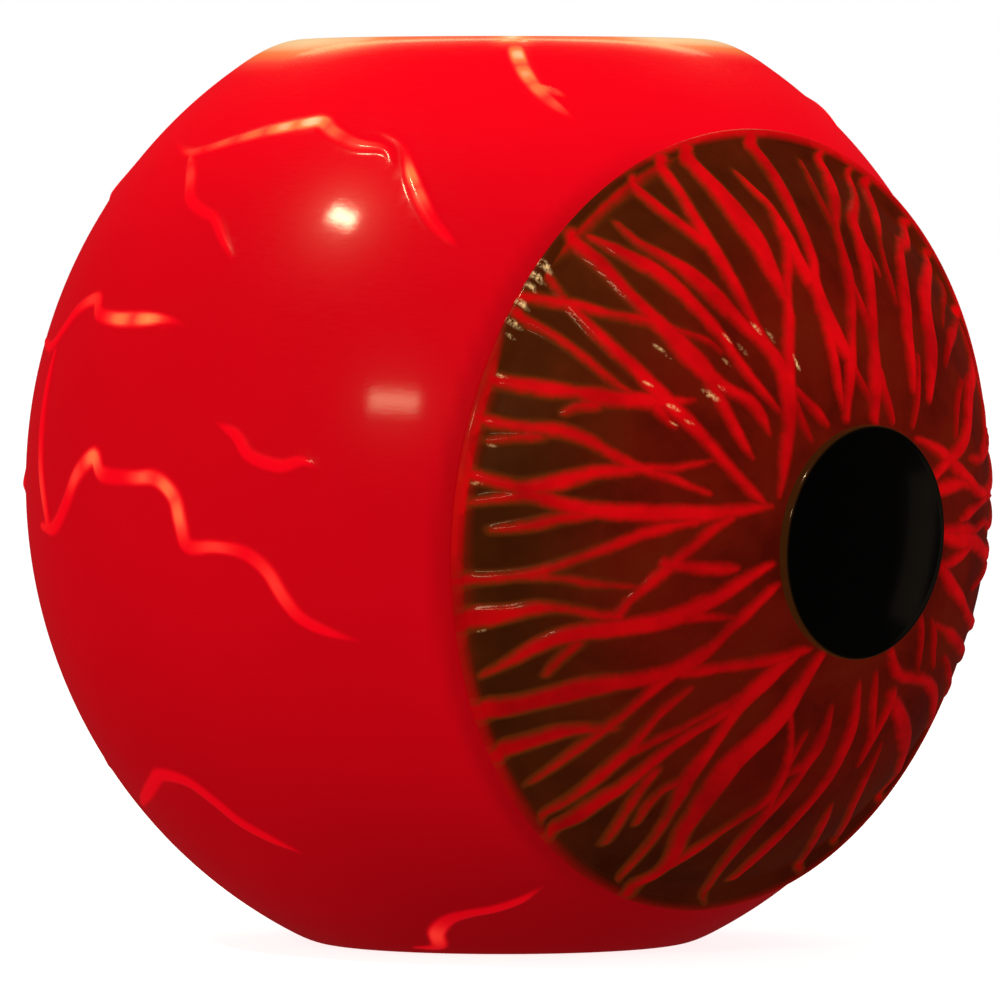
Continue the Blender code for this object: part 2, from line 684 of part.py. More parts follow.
def build_port(build, cover_plastic, steel, black_plastic):
    x, y = socket_place()
    high = BOARD_BOTTOM - GAP
    low = COVER_TOP + GAP
    profile = [
        (0, high),
        (SOCKET_RADIUS, high),
        (SOCKET_RADIUS, low),
        (SOCKET_BORE, low),
        (SOCKET_BORE, high - 0.0015),
        (SOCKET_PIN, high - 0.0015),
        (SOCKET_PIN, low + LOOSE),
        (0, low + LOOSE),
    ]
    build.turned("charging_socket", profile, black_plastic, SMALL_STEPS, (x, y, 0))

    pivot = Vector((*pivot_place(), 0))
    reach = Vector((x, y, 0)) - pivot
    plate_high = RECESS_DEPTH - GAP
    plate_low = plate_high - PORT_COVER_THICKNESS
    outline = bpy.data.curves.new("port_outline", "CURVE")
    outline.dimensions = "2D"
    outline.fill_mode = "BOTH"
    outline.extrude = PORT_COVER_THICKNESS / 2
    spline = outline.splines.new("POLY")
    side = math.atan2(reach.y, reach.x)
    steps = 10
    points = []
    for centre, start in ((reach, side - math.pi / 2), (Vector(), side + math.pi / 2)):
        for i in range(steps + 1):
            turn = start + math.pi * i / steps
            points.append(centre + PORT_COVER_RADIUS * Vector((math.cos(turn), math.sin(turn), 0)))
    spline.points.add(len(points) - 1)
    for slot, point in zip(spline.points, points):
        slot.co = (point.x, point.y, 0, 1)
    spline.use_cyclic_u = True
    guide = bpy.data.objects.new("port_outline", outline)
    guide.location = (pivot.x, pivot.y, (plate_low + plate_high) / 2)
    build.cutters.objects.link(guide)
    plate = mesh_of_curve(build, guide, "port_cover", cover_plastic)
    screw_hole = SMALL_SCREW["shank"] + HOLE_CLEARANCE
    build.drill(plate, screw_hole, 0, RECESS_DEPTH, [(pivot.x, pivot.y)], "port_pivot_hole")
    grip = build.box(
        "port_grip", (-0.004, -0.0008, plate_low - 0.0012), (0.004, 0.0008, plate_low + OVERLAP), None
    )
    grip.location = (x, y, 0)
    grip.rotation_euler = (0, 0, side)
    build.join(plate, grip)
    seat = plate_low - GAP
    tip = COVER_TOP - OVERLAP
    build.screw("port_pivot_screw", SMALL_SCREW, seat, tip, steel, pivot.x, pivot.y)


def mesh_of_curve(build, guide, name, material):
    """A curve's solid as a mesh object, with its caps welded, in the curve's place."""
    graph = bpy.context.evaluated_depsgraph_get()
    graph.update()
    mesh = bpy.data.meshes.new_from_object(guide.evaluated_get(graph))
    shape = bmesh.new()
    shape.from_mesh(mesh)
    bmesh.ops.remove_doubles(shape, verts=shape.verts, dist=0.00001)
    bmesh.ops.recalc_face_normals(shape, faces=shape.faces)
    shape.to_mesh(mesh)
    shape.free()
    mesh.materials.clear()
    obj = build.add(name, mesh, material)
    obj.matrix_world = guide.matrix_world.copy()
    bpy.data.objects.remove(guide)
    return obj


def build_indicator(build, clear_plastic, white_plastic):
    x, y = indicator_place()
    collar = COVER_TOP + GAP
    profile = [
        (0, collar + 0.001),
        (INDICATOR_RADIUS + 0.001, collar + 0.001),
        (INDICATOR_RADIUS + 0.001, collar),
        (INDICATOR_RADIUS, collar),
        (INDICATOR_RADIUS, RECESS_DEPTH - 0.0003),
        (0, RECESS_DEPTH - 0.0006),
    ]
    build.turned("indicator_lens", profile, clear_plastic, SMALL_STEPS, (x, y, 0))
    high = BOARD_BOTTOM - GAP
    build.box(
        "indicator_led",
        (x - 0.0016, y - 0.0014, high - 0.0014),
        (x + 0.0016, y + 0.0014, high),
        white_plastic,
    )


def build_board(build, green_board, black_plastic):
    board = build.cylinder(
        "control_board", BOARD_RADIUS, BOARD_BOTTOM, BOARD_TOP, green_board, steps=FINE_STEPS
    )
    small = SMALL_SCREW["shank"] + HOLE_CLEARANCE
    low, high = BOARD_BOTTOM - LOOSE, BOARD_TOP + LOOSE
    build.drill(board, small, low, high, post_places(), "board_hole")
    low = BOARD_TOP + GAP
    build.box("control_chip", (-0.006, -0.006, low), (0.006, 0.006, low + 0.0016), black_plastic)
    build.box(
        "charging_chip", (-0.022, -0.003, low), (-0.014, 0.003, low + 0.0016), black_plastic
    )


# ---- Battery -------------------------------------------------------------------------------
def cradle_sizes():
    half_length = CELL_LENGTH / 2 + GAP
    half_width = CELL_COUNT * (CELL_RADIUS + GAP / 2) + GAP
    return half_length, half_width


def cradle_screw_places():
    half_width = cradle_sizes()[1]
    reach = half_width + CRADLE_WALL + CRADLE_EAR / 2
    return [(-0.010, reach), (-0.010, -reach)]


def build_battery(build, black_plastic, cell_blue, steel):
    half_length, half_width = cradle_sizes()
    high = HOUSING_CEILING - GAP
    plate_low = high - CRADLE_WALL
    cell_height = plate_low - GAP - CELL_RADIUS
    low = cell_height - CELL_RADIUS * 0.7
    cradle = build.box(
        "battery_cradle",
        (-half_length - CRADLE_WALL, -half_width - CRADLE_WALL, low),
        (half_length + CRADLE_WALL, half_width + CRADLE_WALL, high),
        black_plastic,
    )
    room = build.box(
        "cell_room",
        (-half_length, -half_width, low - LOOSE),
        (half_length, half_width, plate_low),
        None,
    )
    build.cut(cradle, room)
    reach = half_width + CRADLE_WALL + CRADLE_EAR
    centre = cradle_screw_places()[0][0]
    half_ear = CRADLE_EAR / 2
    ears = build.box(
        "cradle_ears", (centre - half_ear, -reach, plate_low), (centre + half_ear, reach, high), None
    )
    ear_room = build.box(
        "ear_room",
        (centre - 2 * half_ear, -half_width - OVERLAP, plate_low - LOOSE),
        (centre + 2 * half_ear, half_width + OVERLAP, high + LOOSE),
        None,
    )
    build.cut(ears, ear_room)
    build.join(cradle, ears)
    small = SMALL_SCREW["shank"] + HOLE_CLEARANCE
    places = cradle_screw_places()
    build.drill(cradle, small, plate_low - LOOSE, high + LOOSE, places, "ear_hole")
    for number, (x, y) in enumerate(places, 1):
        seat, tip = plate_low - GAP, HOUSING_TOP - GAP
        build.screw(f"cradle_screw_{number}", SMALL_SCREW, seat, tip, steel, x, y)
    build_cells(build, cell_blue, cell_height)


def build_cells(build, cell_blue, height):
    """The round cells, side by side with their ends along X. Each has a raised end contact."""
    shoulder_length = CELL_LENGTH - 0.0015
    profile = [
        (0, CELL_LENGTH),
        (0.003, CELL_LENGTH),
        (0.003, shoulder_length),
        (CELL_RADIUS - 0.001, shoulder_length),
        (CELL_RADIUS, shoulder_length - 0.001),
        (CELL_RADIUS, 0),
        (0, 0),
    ]
    pitch = 2 * CELL_RADIUS + GAP
    for number in range(CELL_COUNT):
        y = (number - (CELL_COUNT - 1) / 2) * pitch
        name = f"battery_cell_{number + 1}"
        cell = build.turned(name, profile, cell_blue, SMALL_STEPS, (-CELL_LENGTH / 2, y, height))
        cell.rotation_euler = (0, math.pi / 2, 0)


# ---- Light ---------------------------------------------------------------------------------
def diffuser_screw_places():
    circle = (DIFFUSER_RADIUS + HOUSING_RADIUS) / 2
    return on_circle(circle, DIFFUSER_SCREWS, math.radians(30.0))


def build_light(build, white_board, led_yellow, frosted, steel):
    board = build.cylinder(
        "led_board",
        LED_BOARD_RADIUS,
        LED_BOARD_BOTTOM,
        LED_BOARD_TOP,
        white_board,
        steps=FINE_STEPS,
    )
    x, y = lead_place()
    hole = LEAD_RADIUS + LOOSE
    low, high = LED_BOARD_BOTTOM - LOOSE, LED_BOARD_TOP + LOOSE
    build.drill(board, hole, low, high, [(x, y)], "led_lead_hole")
    for number, (x, y) in enumerate(on_circle(LED_CIRCLE, LED_COUNT), 1):
        half = LED_SIDE / 2
        low = LED_BOARD_TOP + GAP
        led = build.box(
            f"led_{number}", (-half, -half, low), (half, half, low + LED_HEIGHT), led_yellow, 0.0004
        )
        led.location = (x, y, 0)
        led.rotation_euler = (0, 0, math.atan2(y, x))

    foot_radius = HOUSING_RADIUS - GAP
    inner = DIFFUSER_RADIUS - DIFFUSER_WALL
    under = DIFFUSER_HEIGHT - DIFFUSER_WALL
    dome = arc(DIFFUSER_FOOT, DIFFUSER_RADIUS, DIFFUSER_HEIGHT, math.pi / 2, 0, 6)
    inside = arc(DIFFUSER_FOOT, inner, under, 0, math.pi / 2, 6)
    dome[0] = (0, dome[0][1])
    inside[-1] = (0, inside[-1][1])
    clamp = LED_BOARD_TOP + GAP
    foot = [
        (foot_radius, DIFFUSER_FOOT),
        (foot_radius, LED_BOARD_BOTTOM),
        (DIFFUSER_RADIUS - LOOSE + GAP, LED_BOARD_BOTTOM),
        (DIFFUSER_RADIUS - LOOSE + GAP, clamp),
        (inner - LOOSE, clamp),
    ]
    diffuser = build.turned("light_diffuser", dome + foot + inside, frosted)
    small = SMALL_SCREW["shank"] + HOLE_CLEARANCE
    places = diffuser_screw_places()
    low, high = LED_BOARD_BOTTOM - LOOSE, DIFFUSER_FOOT + LOOSE
    build.drill(diffuser, small, low, high, places, "diffuser_hole")
    for number, (x, y) in enumerate(places, 1):
        seat, tip = DIFFUSER_FOOT + GAP, HOUSING_CEILING + GAP
        build.screw(f"diffuser_screw_{number}", SMALL_SCREW, seat, tip, steel, x, y)


# ---- Leads inside the base unit ------------------------------------------------------------
def lead_place():
    half_width = cradle_sizes()[1]
    return (0.012, half_width + CRADLE_WALL + 3 * LEAD_RADIUS)


def build_lead(build, name, points, material):
    """A lead along a smooth curve through the points of its route."""
    route = [Vector(point) for point in points]
    ends = [2 * route[0] - route[1]] + route + [2 * route[-1] - route[-2]]
    smooth = []
    for first, second, third, fourth in zip(ends, ends[1:], ends[2:], ends[3:]):
        for i in range(4):
            t = i / 4
            smooth.append(
                0.5
                * (
                    2 * second
                    + (third - first) * t
                    + (2 * first - 5 * second + 4 * third - fourth) * t**2
                    + (3 * second - first - 3 * third + fourth) * t**3
                )
            )
    smooth.append(route[-1])
    curve = bpy.data.curves.new(name, "CURVE")
    curve.dimensions = "3D"
    curve.bevel_depth = LEAD_RADIUS
    curve.bevel_resolution = 2
    curve.use_fill_caps = True
    spline = curve.splines.new("POLY")
    spline.points.add(len(smooth) - 1)
    for slot, point in zip(spline.points, smooth):
        slot.co = (*point, 1)
    curve.materials.append(material)
    build.parts.objects.link(bpy.data.objects.new(name, curve))


def build_leads(build, lead_red, lead_black):
    x, y = lead_place()
    start = BOARD_TOP + GAP
    end = LED_BOARD_TOP - GAP
    middle = (start + end) / 2
    route = [(x, y, start), (x, y, start + 0.008), (x + 0.002, y, middle), (x, y, end - 0.008)]
    build_lead(build, "led_lead", route + [(x, y, end)], lead_red)

    side = cradle_sizes()[0] + CRADLE_WALL + GAP
    height = HOUSING_CEILING - 0.012
    route = [
        (side, 0.008, height),
        (side + 0.004, 0.008, height - 0.002),
        (side + 0.004, 0.008, height - 0.012),
        (side, 0.008, start + 0.008),
        (side, 0.008, start),
    ]
    build_lead(build, "battery_lead", route, lead_black)


# ---- Lamp ----------------------------------------------------------------------------------
def shade_smooth(collection):
    for obj in collection.objects:
        if obj.type == "MESH":
            obj.data.shade_smooth()
            obj.data.set_sharp_from_angle(angle=SMOOTH_ANGLE)


def build_lamp():
    clear_scene()
    build = Builder()
    glow_red = make_material("glow_red_polyethylene", (0.78, 0.01, 0.02), 0.35)
    iris_red = make_material("iris_painted_polyethylene", (0.45, 0.02, 0.01), 0.3)
    black_gloss = make_material("pupil_black_gloss", (0.01, 0.008, 0.008), 0.08)
    rubber = make_material("black_rubber", (0.02, 0.02, 0.02), 0.8)
    steel = make_material("zinc_steel", (0.6, 0.6, 0.62), 0.35, 1.0)
    housing_plastic = make_material("housing_white_plastic", (0.75, 0.75, 0.73), 0.5)
    cover_plastic = make_material("cover_white_plastic", (0.7, 0.7, 0.68), 0.45)
    button_plastic = make_material("button_grey_plastic", (0.35, 0.36, 0.38), 0.4)
    black_plastic = make_material("black_plastic", (0.03, 0.03, 0.03), 0.45)
    clear_plastic = make_material("indicator_clear_plastic", (0.85, 0.87, 0.88), 0.1)
    frosted = make_material("diffuser_frosted_plastic", (0.88, 0.88, 0.86), 0.4)
    green_board = make_material("control_board_green", (0.02, 0.2, 0.06), 0.4)
    white_board = make_material("led_board_white", (0.82, 0.82, 0.8), 0.4)
    led_yellow = make_material("led_package", (0.9, 0.8, 0.35), 0.3)
    cell_blue = make_material("cell_blue_sleeve", (0.05, 0.2, 0.6), 0.35)
    lead_red = make_material("lead_red", (0.6, 0.03, 0.03), 0.5)

    build_shell(build, glow_red)
    build_iris(build, iris_red, rubber, black_gloss, steel)
    build_housing(build, housing_plastic, rubber, steel)
    build_cover(build, cover_plastic, rubber, steel)
    build_button(build, button_plastic, steel, black_plastic)
    build_port(build, cover_plastic, steel, black_plastic)
    build_indicator(build, clear_plastic, led_yellow)
    build_board(build, green_board, black_plastic)
    build_battery(build, black_plastic, cell_blue, steel)
    build_light(build, white_board, led_yellow, frosted, steel)
    build_leads(build, lead_red, rubber)
    shade_smooth(build.parts)


build_lamp()
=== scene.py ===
"""Glowing eyeball lamp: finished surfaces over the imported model.

The moulded ball, the iris, its seal, the pupil cap and the button's spring are made here as fine
meshes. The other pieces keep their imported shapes. Every piece gets a node material.
"""

import math

import bmesh
import bpy
import numpy as np
from bpy.props import FloatProperty, FloatVectorProperty, IntProperty, PointerProperty
from bpy.types import Operator, Panel, PropertyGroup
from mathutils import Matrix, Vector


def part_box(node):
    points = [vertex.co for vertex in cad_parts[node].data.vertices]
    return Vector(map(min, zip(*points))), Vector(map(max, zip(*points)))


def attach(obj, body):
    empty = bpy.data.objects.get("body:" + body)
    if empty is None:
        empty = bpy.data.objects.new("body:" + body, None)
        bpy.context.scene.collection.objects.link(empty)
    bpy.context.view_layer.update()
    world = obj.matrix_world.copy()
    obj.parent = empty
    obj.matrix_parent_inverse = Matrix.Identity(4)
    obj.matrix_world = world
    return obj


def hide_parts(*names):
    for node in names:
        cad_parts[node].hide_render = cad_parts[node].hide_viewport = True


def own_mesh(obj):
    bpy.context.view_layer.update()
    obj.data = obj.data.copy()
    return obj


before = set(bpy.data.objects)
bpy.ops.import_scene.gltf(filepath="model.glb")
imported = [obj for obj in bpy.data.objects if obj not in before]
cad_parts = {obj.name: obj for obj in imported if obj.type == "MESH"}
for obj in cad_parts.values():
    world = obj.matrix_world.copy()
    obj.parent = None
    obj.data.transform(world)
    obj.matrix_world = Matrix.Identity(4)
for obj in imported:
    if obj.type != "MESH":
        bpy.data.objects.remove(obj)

bl_info = {
    "name": "Glowing eyeball lamp",
    "version": (1, 0, 0),
    "blender": (4, 5, 0),
    "location": "View3D > Sidebar > Eyeball lamp",
    "description": "Builds the finished surfaces of a glowing eyeball floor lamp",
    "category": "Object",
}

MM = 0.001
JOIN_DISTANCE = 1e-6

# ---- Fixed sizes, in metres ----------------------------------------------------------------
HOUSING_PLAY = 0.001
SEAL_PLAY = 0.0003
HOLE_BEVEL = 0.0008
LEDGE_HOLE = 0.056
LEDGE_EDGE = 0.070
LEDGE_FOOT = 0.075
WALL_FOOT = 0.012
WALL_ROWS = 36
VEIN_REFINEMENTS = 2
IRIS_STEPS = 720
IRIS_ROWS = 112
IRIS_INNER = 0.040
IRIS_WALL = 0.0045
RIM_DEPTH = 0.0035
STREAK_LIFT = 0.0002
FAR_OFF = 6.0
PUPIL_STEPS = 240
PUPIL_LIFT = 0.004
PUPIL_CORNER = 0.0023
SEAL_STEPS = 360
SEAL_THICKNESS = 0.0014
SEAL_OUTER = 0.1516
SEAL_INNER = 0.1475
SEAL_BEVEL = 0.0004

# ---- Studio --------------------------------------------------------------------------------
SENSOR_WIDTH = 36.0
CAMERA_DISTANCE = 4.0
CAMERA_SIDE = math.radians(43.4)
CAMERA_RISE = 0.113
CAMERA_SHIFT = (-0.003, -0.017)
FLOOR_REACH = 14.0
FLOOR_DROP = 0.0005
GLOSSY_AMBIENT = 0.02
WARM = (1.0, 0.78, 0.48)
# Each light: name, direction from the ball's centre, distance, (width, height), power, colour.
LIGHTS = (
    ("upper_light", (-0.579, 0.147, 0.801), 2.6, (0.30, 0.12), 26.0, WARM),
    ("front_light", (-0.891, -0.336, 0.306), 2.6, (0.52, 0.15), 8.0, WARM),
    ("side_card", (0.87, -0.50, -0.15), 2.6, (0.55, 1.0), 0.20, (1.0, 0.80, 0.5)),
    ("rear_light", (0.526, 0.557, 0.62), 2.4, (1.5, 0.28), 7.0, (1.0, 0.80, 0.45)),
)

# ---- Veins ---------------------------------------------------------------------------------
# Each route runs over the ball as (turn, height, half width): turn in degrees round the upright
# axis from the way the eye looks, height in mm above the floor, half width in mm.
SIDE_VEINS = (
    (
        (-126, 344, 1.0), (-118, 340, 1.4), (-108, 333, 2.0), (-101, 330, 3.2), (-93, 334, 3.8),
        (-86, 338, 4.8), (-79, 341, 5.4), (-75, 342, 5.2), (-72, 338, 4.6), (-67, 333, 4.0),
        (-62, 331, 2.8), (-60, 325, 1.2),
    ),
    (
        (-65, 339, 1.0), (-62, 337, 1.8), (-59, 332, 2.2), (-57, 321, 3.6), (-55, 311, 4.2),
        (-53, 302, 3.6), (-51, 296, 3.0), (-49, 291, 1.2),
    ),
    (
        (-101, 329, 2.4), (-97, 320, 4.0), (-94, 311, 3.6), (-90, 306, 3.4), (-87, 303, 3.2),
        (-84, 295, 3.0), (-81, 286, 1.6),
    ),
    (
        (-127, 252, 2.4), (-120, 250, 3.4), (-116, 257, 3.6), (-112, 266, 4.0), (-107, 270, 4.2),
        (-105, 264, 4.0), (-100, 262, 4.4), (-95, 262, 4.6), (-90, 262, 3.0), (-86, 260, 1.4),
    ),
    (
        (-117, 248, 2.6), (-117, 225, 4.6), (-116, 202, 4.8), (-114, 184, 4.2), (-113, 176, 3.2),
    ),
    (
        (-116, 176, 2.6), (-111, 176, 4.0), (-107, 186, 4.6), (-104, 198, 5.0), (-100, 206, 5.4),
        (-98, 199, 4.6), (-92, 198, 4.2), (-88, 198, 4.6), (-85, 191, 5.0), (-84, 180, 5.0),
        (-83, 171, 4.4), (-79, 171, 3.6), (-75, 169, 3.8), (-72, 162, 4.2), (-70, 151, 4.2),
        (-68, 143, 3.6), (-65, 138, 3.0), (-61, 134, 1.6),
    ),
    (
        (-79, 221, 1.6), (-76, 216, 3.4), (-74, 208, 3.6), (-70, 204, 3.6), (-67, 206, 2.8),
        (-64.5, 201, 0.6),
    ),
    (
        (-118, 60, 2.4), (-110, 66, 3.8), (-105, 71, 4.0), (-101, 75, 4.2), (-95, 73, 4.0),
        (-91, 65, 4.0), (-88, 57, 3.8), (-84, 51, 3.4), (-79, 45, 1.8),
    ),
    (
        (-68, 3, 2.4), (-61, 4, 4.4), (-59, 11, 5.0), (-55, 17, 4.4), (-50, 20, 3.6),
        (-45, 22, 3.4), (-40, 26, 3.0), (-36, 32, 1.4),
    ),
    (
        (-41, 377, 5.4), (-40, 367, 5.4), (-38, 358, 5.0), (-35, 350, 4.2), (-31, 342, 1.8),
    ),
    ((-37, 356, 3.6), (-34, 354, 3.2), (-31, 351, 1.2)),
)
BACK_VEINS = (
    (
        (-168, 366, 2.4), (-160, 352, 3.6), (-154, 344, 4.0), (-147, 345, 4.2), (-141, 336, 4.0),
        (-138, 322, 3.8), (-133, 314, 3.2), (-128, 312, 1.6),
    ),
    ((-154, 343, 2.4), (-156, 330, 3.4), (-161, 318, 3.2), (-162, 305, 2.8), (-167, 296, 1.4)),
    (
        (-172, 238, 1.6), (-165, 241, 3.4), (-159, 234, 4.2), (-156, 221, 4.6), (-150, 215, 4.6),
        (-145, 219, 4.4), (-140, 212, 4.0), (-137, 198, 3.8), (-131, 192, 3.4), (-126, 195, 1.6),
    ),
    ((-150, 214, 2.4), (-151, 200, 3.4), (-148, 188, 3.2), (-150, 176, 2.8), (-147, 166, 1.2)),
    (
        (-174, 118, 1.6), (-168, 110, 3.6), (-162, 111, 4.2), (-157, 102, 4.4), (-151, 99, 4.2),
        (-147, 88, 4.0), (-140, 84, 3.6), (-135, 75, 3.0), (-131, 73, 1.4),
    ),
    ((-157, 101, 2.2), (-159, 88, 3.2), (-155, 77, 3.0), (-157, 64, 2.6), (-153, 52, 1.2)),
    ((-176, 30, 1.4), (-169, 37, 3.6), (-163, 34, 4.0), (-158, 24, 3.8), (-151, 20, 3.2), (-146, 10, 1.4)),
)
# Painted highlights on the vein ridges, orange to yellow-white: turn, height, reach, brightness.
PAINTED_HIGHLIGHTS = (
    (-101, 330, 9, 0.40),
    (-94, 334, 10, 0.50),
    (-88, 337, 10, 0.62),
    (-82, 340, 10, 0.90),
    (-77, 342, 10, 1.0),
    (-72, 338, 8, 0.55),
    (-66, 333, 10, 0.42),
    (-57, 320, 8, 0.75),
    (-55, 312, 7, 0.55),
    (-108, 269, 10, 0.34),
    (-99, 262, 10, 0.70),
    (-93, 262, 10, 0.80),
    (-116, 190, 16, 0.34),
    (-104, 198, 8, 0.40),
    (-100, 206, 8, 0.66),
    (-90, 198, 8, 0.50),
    (-86, 194, 8, 0.62),
    (-84, 184, 9, 0.60),
    (-79, 171, 10, 0.36),
    (-71, 156, 12, 0.34),
    (-60, 10, 10, 0.34),
    (-41, 377, 8, 1.0),
    (-40, 369, 8, 0.95),
    (-39, 361, 8, 0.85),
    (-37, 355, 7, 0.70),
    (-34, 349, 7, 0.48),
    (-33, 353, 6, 0.45),
    (-97, 320, 8, 0.36),
)
# Painted highlight along the top shoulder's edge: turn, brightness, how far down it reaches in mm.
TOP_EDGE_HIGHLIGHT = (
    (-180, 0.50, 4), (-150, 0.70, 8), (-132, 1.0, 15), (-100, 1.0, 15), (-84, 0.92, 11),
    (-70, 0.66, 6), (-48, 0.56, 4), (-41, 1.0, 7), (-34, 0.60, 4), (-14, 0.78, 6), (0, 1.0, 9),
    (34, 1.0, 11), (60, 0.8, 8), (100, 0.5, 5), (150, 0.72, 7), (180, 0.50, 4),
)

